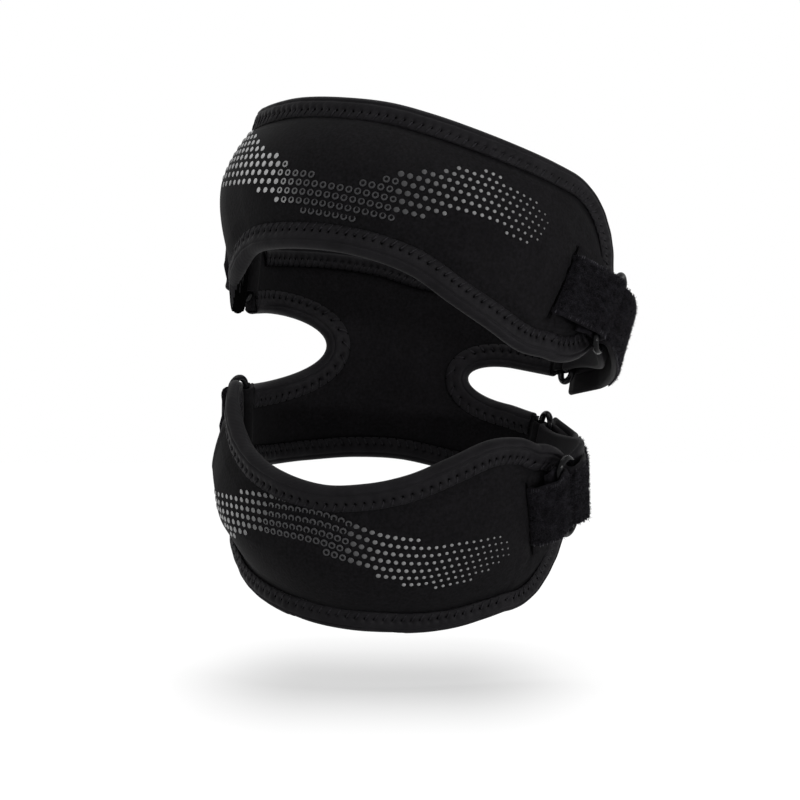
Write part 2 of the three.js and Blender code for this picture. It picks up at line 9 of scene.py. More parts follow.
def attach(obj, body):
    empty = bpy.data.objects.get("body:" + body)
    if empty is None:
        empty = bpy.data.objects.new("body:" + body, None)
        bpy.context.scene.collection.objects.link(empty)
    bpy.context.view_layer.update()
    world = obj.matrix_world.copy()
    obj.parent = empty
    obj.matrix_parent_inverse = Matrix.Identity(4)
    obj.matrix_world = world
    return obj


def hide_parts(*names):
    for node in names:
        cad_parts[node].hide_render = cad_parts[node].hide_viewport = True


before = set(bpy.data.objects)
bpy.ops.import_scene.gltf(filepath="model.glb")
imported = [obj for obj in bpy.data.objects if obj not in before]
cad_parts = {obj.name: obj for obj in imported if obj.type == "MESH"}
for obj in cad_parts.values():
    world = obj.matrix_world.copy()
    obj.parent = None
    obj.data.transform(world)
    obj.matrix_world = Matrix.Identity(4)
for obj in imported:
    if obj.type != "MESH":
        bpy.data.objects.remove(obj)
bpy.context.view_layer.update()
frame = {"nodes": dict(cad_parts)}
scene = bpy.context.scene
mm = 0.001
dice = np.random.default_rng(7)  # every run draws the same pile

# Camera, floor and light. Sizes in millimetres, angles in degrees
picture = {
    "cameraDistance": 700, "lens": 105, "sensor": 36, "nearest": 50, "roll": 8, "aim": (1.46, 0, -10.4),
    "floorDrop": 93, "floorSize": 3000, "floorWhite": 0.25, "floorGlow": 0.78, "worldStrength": 1.0,
    # where the floor's painted shadow lies, how far it reaches and how dark it is
    "shadowMiddle": (7.6, -14.5), "shadowEnds": (20, 71), "shadowSpread": 59, "shadowDepth": 0.69,
}
lampUp = (0, 1, 0.2)
lamps = [
    {"name": "overheadSoftbox", "at": (-40, -60, 620), "size": 420, "power": 1.6},
    {"name": "frontSoftbox", "at": (480, -520, -150), "size": 300, "power": 42},
]

rollTurn = math.radians(picture["roll"])
pictureUp = Vector((-math.sin(rollTurn), 0, math.cos(rollTurn)))


# Turn that looks along a direction with a given way up
def lookAlong(direction, up):
    back = -direction.normalized()
    right = up.cross(back).normalized()
    return Matrix((right, back.cross(right), back)).transposed().to_4x4()


cameraData = bpy.data.cameras.new("camera")
cameraData.lens = picture["lens"]
cameraData.sensor_width = picture["sensor"]
cameraData.clip_start = picture["nearest"] * mm
camera = bpy.data.objects.new("camera", cameraData)
eye = Vector((0, -picture["cameraDistance"], 0)) * mm
camera.matrix_world = Matrix.Translation(eye) @ lookAlong(Vector(picture["aim"]) * mm - eye, pictureUp)
scene.collection.objects.link(camera)
scene.camera = camera
scene.view_settings.view_transform = "Standard"
print("camera set")


# Materials
def linear(hexColour):
    parts = [int(hexColour[k:k + 2], 16) / 255 for k in (1, 3, 5)]
    return [c / 12.92 if c <= 0.04045 else ((c + 0.055) / 1.055) ** 2.4 for c in parts] + [1]


# Adds a node: values goes to its input sockets, links joins sockets and settings are its own fields
def addNode(tree, kind, values=None, links=None, **settings):
    node = tree.nodes.new(kind)
    for key, value in settings.items():
        setattr(node, key, value)
    for key, value in (values or {}).items():
        node.inputs[key].default_value = value
    for key, socket in (links or {}).items():
        tree.links.new(socket, node.inputs[key])
    return node


def newMaterial(name, **values):
    material = bpy.data.materials.new(name)
    material.use_nodes = True
    shader = material.node_tree.nodes["Principled BSDF"]
    for key, value in values.items():
        shader.inputs[key.replace("_", " ")].default_value = value
    return material, material.node_tree, shader


# Two colours that drift into each other over a given size in millimetres
def cloudyColour(tree, coordinate, dark, light, size, detail=3):
    cloud = addNode(
        tree, "ShaderNodeTexNoise", {"Scale": 1000 / size, "Detail": detail, "Roughness": 0.6},
        {"Vector": coordinate},
    )
    spread = addNode(
        tree, "ShaderNodeMapRange", {"From Min": 0.3, "From Max": 0.7}, {"Value": cloud.outputs["Fac"]},
    )
    return addNode(
        tree, "ShaderNodeMix", {6: linear(dark), 7: linear(light)}, {0: spread.outputs["Result"]},
        data_type="RGBA",
    ).outputs[2]


# Bump from a pattern, with its height in millimetres
def addBump(tree, shader, pattern, strength, height):
    settings = {"Strength": strength, "Distance": height * mm}
    bump = addNode(tree, "ShaderNodeBump", settings, {"Height": pattern})
    tree.links.new(bump.outputs["Normal"], shader.inputs["Normal"])


# Neoprene with a jersey face: deep black that scatters a little, with a fine uneven knit
def jersey():
    material, tree, shader = newMaterial(
        "jerseyNeoprene", Roughness=0.75, Specular_IOR_Level=0.05, Sheen_Weight=0.012, Sheen_Roughness=0.4,
    )
    coordinate = addNode(tree, "ShaderNodeTexCoord").outputs["Object"]
    broad = cloudyColour(tree, coordinate, "#0b0a0c", "#0f0e10", 9)
    grain = cloudyColour(tree, coordinate, "#8a8a8a", "#ffffff", 0.9, 2)
    ground = addNode(
        tree, "ShaderNodeMix", {0: 1.0}, {6: broad, 7: grain}, data_type="RGBA", blend_type="MULTIPLY",
    )
    tree.links.new(ground.outputs[2], shader.inputs["Base Color"])
    knit = addNode(tree, "ShaderNodeTexVoronoi", {"Scale": 1000 / 0.8}, {"Vector": coordinate})
    addBump(tree, shader, knit.outputs["Distance"], 0.5, 0.12)
    return material


# Stretch edge tape: a closer, slightly lighter weave with fine slanted ribs. Its UV map is in millimetres
def edgeTapeCloth():
    ribPitch = 0.9
    material, tree, shader = newMaterial(
        "stretchEdgeTape", Roughness=0.6, Specular_IOR_Level=0.06, Sheen_Weight=0.012, Sheen_Roughness=0.4,
    )
    coordinates = addNode(tree, "ShaderNodeTexCoord")
    colour = cloudyColour(tree, coordinates.outputs["Object"], "#0c0b0d", "#131214", 5)
    tree.links.new(colour, shader.inputs["Base Color"])
    ribs = addNode(
        tree, "ShaderNodeTexWave",
        {"Scale": 1 / (ribPitch * math.pi), "Distortion": 2, "Detail": 2, "Detail Scale": 1.5},
        {"Vector": coordinates.outputs["UV"]}, bands_direction="DIAGONAL",
    )
    addBump(tree, shader, ribs.outputs["Fac"], 0.25, 0.1)
    return material


# Brushed loop pile: a mottled ground under the loose loops
def loopPile():
    material, tree, shader = newMaterial(
        "loopPile", Roughness=0.9, Specular_IOR_Level=0.04, Sheen_Weight=0.01, Sheen_Roughness=0.5,
    )
    coordinate = addNode(tree, "ShaderNodeTexCoord").outputs["Object"]
    tree.links.new(cloudyColour(tree, coordinate, "#070608", "#151417", 1.6), shader.inputs["Base Color"])
    tufts = addNode(tree, "ShaderNodeTexNoise", {"Scale": 1000 / 0.7, "Detail": 3}, {"Vector": coordinate})
    addBump(tree, shader, tufts.outputs["Fac"], 0.8, 0.3)
    return material


# Smooth strap face: closer than the jersey, so it takes more light from the side
def strapCloth():
    material, tree, shader = newMaterial(
        "smoothStrap", Roughness=0.65, Specular_IOR_Level=0.04, Sheen_Weight=0.008, Sheen_Roughness=0.35,
    )
    coordinate = addNode(tree, "ShaderNodeTexCoord").outputs["Object"]
    tree.links.new(cloudyColour(tree, coordinate, "#0c0b0d", "#131214", 3), shader.inputs["Base Color"])
    grain = addNode(tree, "ShaderNodeTexNoise", {"Scale": 1000 / 0.6, "Detail": 2}, {"Vector": coordinate})
    addBump(tree, shader, grain.outputs["Fac"], 0.3, 0.1)
    return material


# Silver-grey print: thin and matt. Its grey is the print's own; each dot's brightness is painted light,
# lighter towards the pads' ends, where the domes catch the light, and dim in the middle
def silverPrint():
    material, tree, shader = newMaterial("silverPrint", Roughness=0.5, Specular_IOR_Level=0.1)
    shade = addNode(tree, "ShaderNodeAttribute", attribute_name="shade")
    colour = addNode(
        tree, "ShaderNodeMix", {6: linear("#1a1a1c"), 7: linear("#ffffff")}, {0: shade.outputs["Fac"]},
        data_type="RGBA",
    )
    tree.links.new(colour.outputs[2], shader.inputs["Base Color"])
    return material


# Plain yarn or moulding: nearly one shade, a little worn and uneven when seen close. The same finish gives
# the near-black of the painted shadows
def plainFinish(name, dark, light, size, roughness, specular):
    material, tree, shader = newMaterial(name, Roughness=roughness, Specular_IOR_Level=specular)
    coordinate = addNode(tree, "ShaderNodeTexCoord").outputs["Object"]
    tree.links.new(cloudyColour(tree, coordinate, dark, light, size), shader.inputs["Base Color"])
    return material


materials = {
    "jersey": jersey(),
    "tape": edgeTapeCloth(),
    "pile": loopPile(),
    "strap": strapCloth(),
    "print": silverPrint(),
    "ring": plainFinish("mouldedGloss", "#040405", "#070708", 3, 0.2, 0.1),
    "thread": plainFinish("polyesterThread", "#131214", "#1f1e21", 2, 0.6, 0.06),
    "fibre": plainFinish("pileFibre", "#060507", "#232226", 1.7, 0.7, 0.06),
    "rib": plainFinish("selvedgeRib", "#121114", "#2f2e32", 2.5, 0.55, 0.1),
    # near-black finish for painted shadow: in the slits, in the needle holes and on the upper pad's tape
    # below its left tip
    "slit": plainFinish("slitShadow", "#020202", "#050505", 1, 1, 0),
}
print("materials made")


# Leg that the brace is worn round. Tables are read as smooth curves
legRows = {
    "at": (-75, -45, -15, 15, 45, 75),
    "left": (35.5, 42.9, 46.3, 49.8, 52.2, 49),
    "right": (54, 57, 58.5, 60, 60.5, 58),
    "front": (46, 49, 51, 53, 54, 53),
    "back": (45, 47, 48, 49, 50, 50),
}
leg = {
    "lean": 18, "kneeRounding": 15, "frontSquareness": 2, "backSquareness": 2.8, "squaring": (-0.2, 0.5),
}


def readTable(table, column, at):
    xs = np.array(table["at"], float)
    ys = np.array(table[column], float)
    last = len(xs) - 1
    before = np.maximum(np.arange(last + 1) - 1, 0)
    after = np.minimum(np.arange(last + 1) + 1, last)
    slopes = (ys[after] - ys[before]) / (xs[after] - xs[before])
    x = np.clip(at, xs[0], xs[-1])
    i = np.clip(np.searchsorted(xs, x, side="right") - 1, 0, last - 1)
    step = xs[i + 1] - xs[i]
    t = (x - xs[i]) / step
    bend = t * t * (3 - 2 * t)
    leave = t * (1 - t) * (1 - t) * step * slopes[i]
    arrive = t * t * (1 - t) * step * slopes[i + 1]
    return ys[i] * (1 - bend) + ys[i + 1] * bend + leave - arrive


def blendStep(value, low, high):
    t = np.clip((value - low) / (high - low), 0, 1)
    return t * t * (3 - 2 * t)


def unit(vectors):
    return vectors / np.linalg.norm(vectors, axis=-1, keepdims=True)


def onLeg(angle, z):
    angle, z = np.broadcast_arrays(np.asarray(angle, float), np.asarray(z, float))
    turn = np.radians(angle)
    sine, cosine = np.sin(turn), np.cos(turn)
    width = np.where(sine < 0, readTable(legRows, "left", z), readTable(legRows, "right", z))
    depth = np.where(cosine > 0, readTable(legRows, "front", z), readTable(legRows, "back", z))
    share = blendStep(-cosine, *leg["squaring"])
    power = leg["frontSquareness"] + (leg["backSquareness"] - leg["frontSquareness"]) * share
    reach = (np.abs(sine / width) ** power + np.abs(cosine / depth) ** power) ** (-1 / power)
    lean = math.tan(math.radians(leg["lean"])) * (np.hypot(z, leg["kneeRounding"]) - leg["kneeRounding"])
    return np.stack([reach * sine, lean - reach * cosine, z], -1)


# Directions on the leg's surface: per degree, per millimetre of height, along the angle, up the leg and out
def legFrame(angle, z):
    step = 0.2
    angle, z = np.asarray(angle, float), np.asarray(z, float)
    perAngle = (onLeg(angle + step, z) - onLeg(angle - step, z)) / (2 * step)
    perZ = (onLeg(angle, z + step) - onLeg(angle, z - step)) / (2 * step)
    out = unit(np.cross(perAngle, perZ))
    along = unit(perAngle)
    return perAngle, perZ, along, np.cross(out, along), out


def layer(angle, z, height):
    return onLeg(angle, z) + legFrame(angle, z)[4] * np.asarray(height, float)[..., None]


def dot(p, q):
    return np.sum(p * q, -1)


# Angle and height reached by a short move along the surface
def slide(angle, z, move):
    perAngle, perZ = legFrame(angle, z)[:2]
    aa, az, zz = dot(perAngle, perAngle), dot(perAngle, perZ), dot(perZ, perZ)
    a, b = dot(perAngle, move), dot(perZ, move)
    area = aa * zz - az * az
    return angle + (a * zz - b * az) / area, z + (b * aa - a * az) / area


# Grid whose points are put in place by column and row number
def mappedGrid(bm, columns, rows, place, uv=None):
    made = bmesh.ops.create_grid(bm, x_segments=columns, y_segments=rows, size=0.5)["verts"]
    column = np.array([round((v.co.x + 0.5) * columns) for v in made])
    row = np.array([round((v.co.y + 0.5) * rows) for v in made])
    for vert, point in zip(made, place(column, row) * mm):
        vert.co = point
    if uv is not None:
        coordinates = dict(zip(made, uv(column, row)))
        uvLayer = bm.loops.layers.uv.verify()
        for vert in made:
            for loop in vert.link_loops:
                loop[uvLayer].uv = coordinates[vert]


def weld(bm):
    bmesh.ops.remove_doubles(bm, verts=bm.verts, dist=1e-6)


def closeEnds(bm):
    edges = [edge for edge in bm.edges if edge.is_boundary]
    bmesh.ops.holes_fill(bm, edges=edges, sides=0)


def addMesh(name, mesh, material, nodes):
    mesh.polygons.foreach_set("use_smooth", np.ones(len(mesh.polygons), bool))
    mesh.materials.append(material)
    piece = bpy.data.objects.new(name, mesh)
    scene.collection.objects.link(piece)
    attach(piece, "root")
    if nodes:
        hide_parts(*nodes)
    return piece


def addPiece(name, bm, material, slot, *nodes):
    bmesh.ops.recalc_face_normals(bm, faces=bm.faces)
    mesh = bpy.data.meshes.new(name)
    bm.to_mesh(mesh)
    bm.free()
    return addMesh(name, mesh, materials[material], nodes)


# Small shapes that are repeated
def ballShape(around, along):
    bm = bmesh.new()
    bmesh.ops.create_uvsphere(bm, u_segments=around, v_segments=along, radius=0.5)
    bmesh.ops.rotate(bm, verts=bm.verts, matrix=Matrix.Rotation(math.pi / 2, 3, "Y"))
    return bm


def needleShape():
    bm = bmesh.new()
    bmesh.ops.create_cone(bm, cap_ends=True, segments=3, radius1=0.5, radius2=0.1, depth=1)
    return bm


def ringShape():
    bm = bmesh.new()
    middle, radius = (0.37, 0, 0), 0.13
    away = Matrix.Translation(middle)
    lip = bmesh.ops.create_circle(bm, segments=6, radius=radius, matrix=away)["verts"]
    bmesh.ops.rotate(bm, verts=lip, matrix=Matrix.Rotation(math.pi / 2, 3, "X"), cent=middle)
    bmesh.ops.spin(
        bm, geom=bm.verts[:] + bm.edges[:], axis=(0, 0, 1), steps=12, angle=2 * math.pi, use_merge=True,
    )
    return bm


# Copies of a small shape joined in one mesh: each has its three axes, scaled to size, and its middle
def scatter(name, shape, axes, middles, material, shade=None):
    bmesh.ops.recalc_face_normals(shape, faces=shape.faces)
    corners = np.array([v.co for v in shape.verts])
    shape.verts.index_update()
    faces = [[v.index for v in face.verts] for face in shape.faces]
    shape.free()
    points = np.einsum("vk,nkj->nvj", corners, axes) + middles[:, None, :]
    count = len(corners)
    joined = [[k + copy * count for k in face] for copy in range(len(middles)) for face in faces]
    mesh = bpy.data.meshes.new(name)
    mesh.from_pydata((points.reshape(-1, 3) * mm).tolist(), [], joined)
    # per-copy brightness: the print's painted light
    if shade is not None:
        mesh.attributes.new("shade", "FLOAT", "POINT").data.foreach_set("value", np.repeat(shade, count))
    addMesh(name, mesh, materials[material], ())


# Edge tape: a folded tape with a rolled lip, sewn round an edge with slanted stitches on both faces
tape = {
    "middle": 2.3, "width": 6.2, "rim": 0.95, "lip": 1.15, "lipHalf": 2.5, "spacing": 0.4,
    "channel": 1.62, "channelMiddle": 2.5, "channelEnd": -0.3,
    "crease": 0.34, "creaseWidth": 0.3, "rumple": 0.11, "rumpleWaves": (1.3, 3.7),
    "tipThinning": 0.28, "tipFrom": -70, "tipTo": -92,
    # how far in from the seam, and how far round the lip, the rows of points stand
    "flatRows": (0, 0.3, 0.8, 1.3, 1.7, 2, 2.3, 2.7, 3.2, 3.8, 4.3, 4.65),
    "lipRows": (-0.08, 0, 0.1, 0.25, 0.42, 0.58, 0.74, 0.87, 0.96),
}
stitch = {
    "pitch": 2.6, "needleRow": 3.9, "seamRow": 6.05, "slant": 0.42,
    "thread": 0.42, "threadSink": 0.1, "threadLift": 0.02, "threadStretch": 1.05,
    "hole": 0.5, "holeSink": 0.36, "holeStretch": 1.5,
    "puff": 0.2, "puffWidth": 1.2, "dimple": 0.55, "needleDimple": (0.42, 0.45), "seamDimple": (0.5, 0.6),
    "seamShare": 0.6,
}
tapeSkin = {
    "at": (1.15, 2, 3, 3.9, 4.8, 5.7, 6.2),
    "half": (2.5, 2.58, 2.5, 2.32, 2.36, 2.28, 2.02),
}
# By angle, the height on the tape under which the upper pad's left tip gets painted shade: the slits'
# near-black finish stands in for the light that does not reach it
paintedTapeShade = {"at": (-104, -64), "height": (2.2, -3.2), "below": 34}


def tapePath(angle, z, side, closed):
    if closed:
        angle, z = np.append(angle, angle[0]), np.append(z, z[0])
    run = np.linalg.norm(np.diff(layer(angle, z, tape["middle"] + 0 * z), axis=0), axis=1)
    distance = np.concatenate([[0], np.cumsum(run)])
    count = round(distance[-1] / tape["spacing"])
    at = np.linspace(0, distance[-1], count + 1)
    angle, z = np.interp(at, distance, angle), np.interp(at, distance, z)
    points = onLeg(angle, z)
    if closed:
        travel = np.roll(points[:-1], -2, 0) - np.roll(points[:-1], 2, 0)
        travel = np.vstack([travel, travel[:1]])
    else:
        travel = np.gradient(points, axis=0)
    inward = unit(np.cross(legFrame(angle, z)[4], unit(travel))) * side
    pitch = distance[-1] / round(distance[-1] / stitch["pitch"])
    return {
        "at": at, "angle": angle, "z": z, "inward": inward, "length": distance[-1], "pitch": pitch,
        "closed": closed,
    }


# Point beside the edge: a distance along it, a distance in from it and a height on the leg
def besideEdge(path, at, inset, height):
    if path["closed"]:
        at = np.mod(at, path["length"])
    angle, z = np.interp(at, path["at"], path["angle"]), np.interp(at, path["at"], path["z"])
    inward = unit(np.stack([np.interp(at, path["at"], path["inward"][:, k]) for k in range(3)], -1))
    angle, z = slide(angle, z, inward * inset[..., None])
    return layer(angle, z, height)


# Share of the tape's thickness that is left: round the pads' left tips it is pulled flatter
def tapeShare(path, at):
    if path["closed"]:
        at = np.mod(at, path["length"])
    angle = np.interp(at, path["at"], path["angle"])
    return 1 - tape["tipThinning"] * blendStep(-angle, -tape["tipFrom"], -tape["tipTo"])


# Half thickness of the tape, with the crease behind its lip and the hollows that its stitches pull
def tapeHalf(path, at, inset):
    lip = tape["lip"]
    rolled = tape["lipHalf"] * np.sqrt(np.clip(1 - ((lip - inset) / (lip + tape["rim"])) ** 2, 0, 1))
    half = np.where(inset < lip, rolled, readTable(tapeSkin, "half", inset)) * tapeShare(path, at)
    half = half - tape["crease"] * np.exp(-((inset - lip) / tape["creaseWidth"]) ** 2)
    phase = np.mod(at / path["pitch"], 1)
    near = np.minimum(phase, 1 - phase) * path["pitch"]
    far = np.abs(phase - 0.5) * path["pitch"]
    fromNeedle, fromSeam = inset - stitch["needleRow"], inset - stitch["seamRow"]
    along, across = stitch["needleDimple"]
    dimples = np.exp(-(near / along) ** 2 - (fromNeedle / across) ** 2)
    along, across = stitch["seamDimple"]
    dimples = dimples + stitch["seamShare"] * np.exp(-(far / along) ** 2 - (fromSeam / across) ** 2)
    puff = -np.cos(2 * math.pi * phase) * np.exp(-(fromNeedle / stitch["puffWidth"]) ** 2)
    short, long = tape["rumpleWaves"]
    rumple = tape["rumple"] * np.sin(at / short) * np.sin(at / long + 1) * blendStep(inset, -0.9, 1)
    return half + stitch["puff"] * puff - stitch["dimple"] * dimples + rumple


# Whether a spot is on the side of the upper pad's tape below its left tip that gets painted shade, as it
# turns away from all light
def inPaintedShade(path, at, height):
    angle, z = np.interp(at, path["at"], path["angle"]), np.interp(at, path["at"], path["z"])
    return (height < readTable(paintedTapeShade, "height", angle)) & (z > 0) & (z < paintedTapeShade["below"])


def addTape(name, path, node):
    lip, wide = tape["lip"], tape["width"]
    flat = wide - np.array(tape["flatRows"])
    edge = lip - (lip + tape["rim"]) * np.array(tape["lipRows"])
    skin = np.concatenate([flat, edge])
    channel = np.array([wide, tape["channelMiddle"], tape["channelEnd"]])
    inset = np.concatenate([skin, [-tape["rim"]], skin[::-1], channel, channel[::-1]])
    side = np.concatenate([0 * skin + 1, [0], 0 * skin - 1, 0 * channel - 1, 0 * channel + 1])
    rows = len(inset)
    inChannel = np.arange(rows) > 2 * len(skin)

    def height(column, row):
        k = row % rows
        half = np.where(inChannel[k], tape["channel"], tapeHalf(path, path["at"][column], inset[k]))
        return side[k] * half

    def place(column, row):
        return besideEdge(path, path["at"][column], inset[row % rows], tape["middle"] + height(column, row))

    steps = np.hypot(np.diff(np.append(inset, inset[0])), tape["spacing"])
    around = np.concatenate([[0], np.cumsum(steps)])
    bm = bmesh.new()
    mappedGrid(
        bm, len(path["at"]) - 1, rows, place,
        lambda column, row: np.stack([path["at"][column], around[row]], -1),
    )
    uvLayer = bm.loops.layers.uv.active
    # faces in the painted shade get the slits' near-black finish
    faces = list(bm.faces)
    spots = np.array([np.mean([loop[uvLayer].uv for loop in face.loops], 0) for face in faces])
    row = np.arange(rows + 1)
    dark = inPaintedShade(path, spots[:, 0], np.interp(spots[:, 1], around, height(0 * row, row)))
    for k in np.flatnonzero(dark):
        faces[k].material_index = 1
    weld(bm)
    if not path["closed"]:
        closeEnds(bm)
    piece = addPiece(name, bm, "tape", "tape", node)
    if dark.any():
        piece.data.materials.append(materials["slit"])


# Point on a face of a tape, lifted off its skin
def onTape(path, at, inset, face, lift):
    half = readTable(tapeSkin, "half", inset) * tapeShare(path, at)
    return besideEdge(path, at, inset, tape["middle"] + face * (half + lift))


# Slanted threads on both faces of a tape, from each needle hole to the seam; the needle holes are near-black
# balls, painted shade in the holes. The inner face also shows the holes of the seam's own row
def addStitches(name, path):
    at = np.arange(int(round(path["length"] / path["pitch"]))) * path["pitch"]
    start = 0 * at + stitch["needleRow"]
    stop = 0 * at + stitch["seamRow"]
    slant = path["pitch"] * stitch["slant"]
    middle, inset = at + slant / 2, (start + stop) / 2
    sink, size, nearby = stitch["threadSink"], stitch["thread"], 0.2
    axes, middles, dark, holeAxes, holes = [], [], [], [], []
    for face in (1, -1):
        run = onTape(path, at + slant, stop, face, -sink) - onTape(path, at, start, face, -sink)
        lifted = onTape(path, middle, inset, face, stitch["threadLift"])
        out = unit(lifted - onTape(path, middle, inset, face, -1))
        across = unit(np.cross(out, run))
        raised = unit(np.cross(run, across))
        axes.append(np.stack([run * stitch["threadStretch"], across * size, raised * size], 1))
        middles.append(lifted)
        dark.append(inPaintedShade(path, middle, face * tape["lipHalf"]))
        for where, row in ((at, start), (at + path["pitch"] / 2, stop))[:1 if face > 0 else 2]:
            hole = onTape(path, where, row, face, -stitch["holeSink"])
            out = unit(hole - onTape(path, where, row, face, -1))
            ahead = onTape(path, where + nearby, row, face, 0)
            along = unit(ahead - onTape(path, where - nearby, row, face, 0))
            across = np.cross(out, along) * stitch["holeStretch"]
            holeAxes.append(np.stack([out, along, across], 1) * stitch["hole"])
            holes.append(hole)
    axes, middles, dark = np.concatenate(axes), np.concatenate(middles), np.concatenate(dark)
    # threads in the painted shade get the near-black finish too
    for label, kept, material in (("", ~dark, "thread"), ("InPaintedShade", dark, "slit")):
        if kept.any():
            scatter(name + label, ballShape(6, 5), axes[kept], middles[kept], material)
    # the holes get the near-black finish: painted shade
    scatter(name + "Holes", ballShape(6, 4), np.concatenate(holeAxes), np.concatenate(holes), "slit")


# Pads: finished edges by angle round the leg, rounded tips, and the slits that the tabs come out of
pads = {
    "upper": {
        "edges": {
            "at": (-84, -73, -60, -45, -27, -13, 0, 12, 24, 35, 44),
            "top": (70, 70.4, 71.3, 72.6, 73, 72.6, 70.7, 68.4, 65.9, 63.5, 61.3),
            "bottom": (16.5, 20.5, 25.8, 27.9, 28.6, 27.5, 24.4, 18.5, 13.1, 8.3, 7.4),
        },
        "leftTip": {"angle": -107.5, "z": 29, "roundness": 3.5, "fade": 22},
        "swell": {"angle": -82, "z": 43, "width": 24, "height": 11, "out": 0.6},
        "rightTip": {"angle": 66.5, "z": 29, "roundness": 2, "fade": 42},
        "slits": (
            {"angle": 44.6, "z": 28.8, "tilt": 26, "side": 1},
            {"angle": -96, "z": 33, "tilt": 22, "side": -1},
        ),
        "print": {
            "at": (-84, -71, -56, -45, -36, -28, -20, -10, 0, 9, 17, 25, 32, 36),
            "top": (63, 62, 57.1, 52.2, 49.1, 46.9, 46.3, 49.2, 52, 55.3, 55.3, 52.1, 49, 44.5),
            "bottom": (46, 44.4, 43.3, 40.4, 38.3, 37.5, 37.3, 38, 39.8, 41.4, 40.2, 38, 36.8, 42),
            "closeness": (1, 1),
            "lift": (0, 0, 0, 0, 0, -0.2, -0.7, -1.7, -3, -4.6, -6, -8, -10, -11),
            "size": (1.8, 1.85, 1.9, 1.95, 2.15, 2.2, 2.2, 2.1, 1.6, 1.3, 1.12, 0.92, 0.72, 0.55),
            # last column: each dot's brightness, painted light that is brighter towards the ends
            "shade": (0.16, 0.24, 0.32, 0.24, 0.045, 0.02, 0.015, 0.018, 0.04, 0.1, 0.14, 0.12, 0.1, 0.07),
        },
    },
    "lower": {
        "edges": {
            "at": (-82, -70, -56, -40, -20, -5, 8, 20, 31, 41, 48),
            "top": (-16, -22.3, -28.8, -33.5, -35.9, -33.7, -29.4, -23, -17, -15.2, -16.4),
            "bottom": (-60.3, -65, -70.2, -73.7, -76.4, -76.8, -76, -74.6, -72.2, -68.8, -66.2),
        },
        "leftTip": {"angle": -107.5, "z": -28.5, "roundness": 3.5, "fade": 22},
        "swell": {"angle": -82, "z": -52, "width": 24, "height": 7, "out": 1.7},
        "rightTip": {"angle": 66.4, "z": -38.5, "roundness": 2.2, "fade": 40},
        "slits": (
            {"angle": 48.8, "z": -37.5, "tilt": -29, "side": 1},
            {"angle": -95.5, "z": -35, "tilt": -20, "side": -1},
        ),
        "print": {
            "at": (-80, -71, -57, -49, -38, -29, -19, -11, -4, 2, 10, 17, 26, 35, 41, 44),
            "top": (-43, -42.8, -41.8, -41.2, -40.6, -41.2, -41.4, -42.4, -43.6, -44.8, -45.1, -45.3, -43.7,
                    -41.3, -43.5, -46),
            "bottom": (-48, -48.5, -53.9, -53, -50.4, -49.7, -50.9, -53.2, -55, -56.6, -59, -59.2, -57.9,
                       -53.8, -49.2, -47),
            "closeness": (1.2, 1),
            "lift": (0, 0, 0, 0, 0, 0, 0, -0.7, -1.8, -2.5, -2.4, -1.6, 0.8, 3, 3.8, 4),
            "size": (1.5, 1.6, 1.75, 1.9, 1.98, 2.1, 2.2, 2.2, 1.75, 1.45, 1.25, 1.1, 0.95, 0.75, 0.6, 0.5),
            # last column: each dot's brightness, painted light that is brighter towards the ends
            "shade": (0.2, 0.24, 0.24, 0.16, 0.06, 0.028, 0.021, 0.022, 0.045, 0.1, 0.14, 0.15, 0.14,
                      0.12, 0.1, 0.07),
        },
    },
}
padForm = {
    "bulge": 5, "frame": 7.4, "tipFlat": 8, "sheetInner": 1, "sheetOuter": 3.6, "edgeRoll": 1.5,
    "tipSteps": 26, "bodySteps": 200, "rows": 84, "rim": 0.9, "fill": 0.8, "tipReach": 0.99995,
    "rollFrom": 4.8, "swellFrom": 4.5, "slitFrom": 5, "inner": 8,
}
slitForm = {
    "half": 12, "width": 0.7, "end": 0.8, "depth": 1.1, "pucker": 0.35, "folds": 5, "reach": 3.5,
    # the last two are the size and lift of the near-black lens, a painted shadow in each slit
    "puckerFrom": 10, "puckerTo": 13, "paintedShadowSize": (25, 1.1, 0.9), "paintedShadowLift": 0.35,
}


def padEdges(pad, angle):
    edges = pad["edges"]
    top = readTable(edges, "top", angle) - padForm["rim"]
    bottom = readTable(edges, "bottom", angle) + padForm["rim"]
    half, middle = (top - bottom) / 2, (top + bottom) / 2
    for tip, start in ((pad["leftTip"], edges["at"][0]), (pad["rightTip"], edges["at"][-1])):
        along = np.clip((angle - start) / (tip["angle"] - start), 0, 1)
        half = half * (1 - along ** tip["roundness"]) ** (1 / tip["roundness"])
        middle = middle + (tip["z"] - middle) * along
    return middle + half, middle - half


# Factor from the upright distance to an edge to the shortest one, which is less where the edge slopes
def edgeShare(pad, edge, angle):
    ahead = angle + 0.5
    travel = onLeg(ahead, padEdges(pad, ahead)[edge]) - onLeg(angle, padEdges(pad, angle)[edge])
    return 1 - np.abs(travel[..., 2]) / np.linalg.norm(travel, axis=-1) / 2


# Distances from a slit: across it and along it, in millimetres
def fromSlit(slit, angle, z):
    along, up = legFrame(slit["angle"], slit["z"])[2:4]
    turn = math.radians(slit["tilt"])
    bar = up * math.cos(turn) + along * slit["side"] * math.sin(turn)
    ahead = along * slit["side"] * math.cos(turn) - up * math.sin(turn)
    away = onLeg(angle, z) - onLeg(slit["angle"], slit["z"])
    return away @ ahead, away @ bar


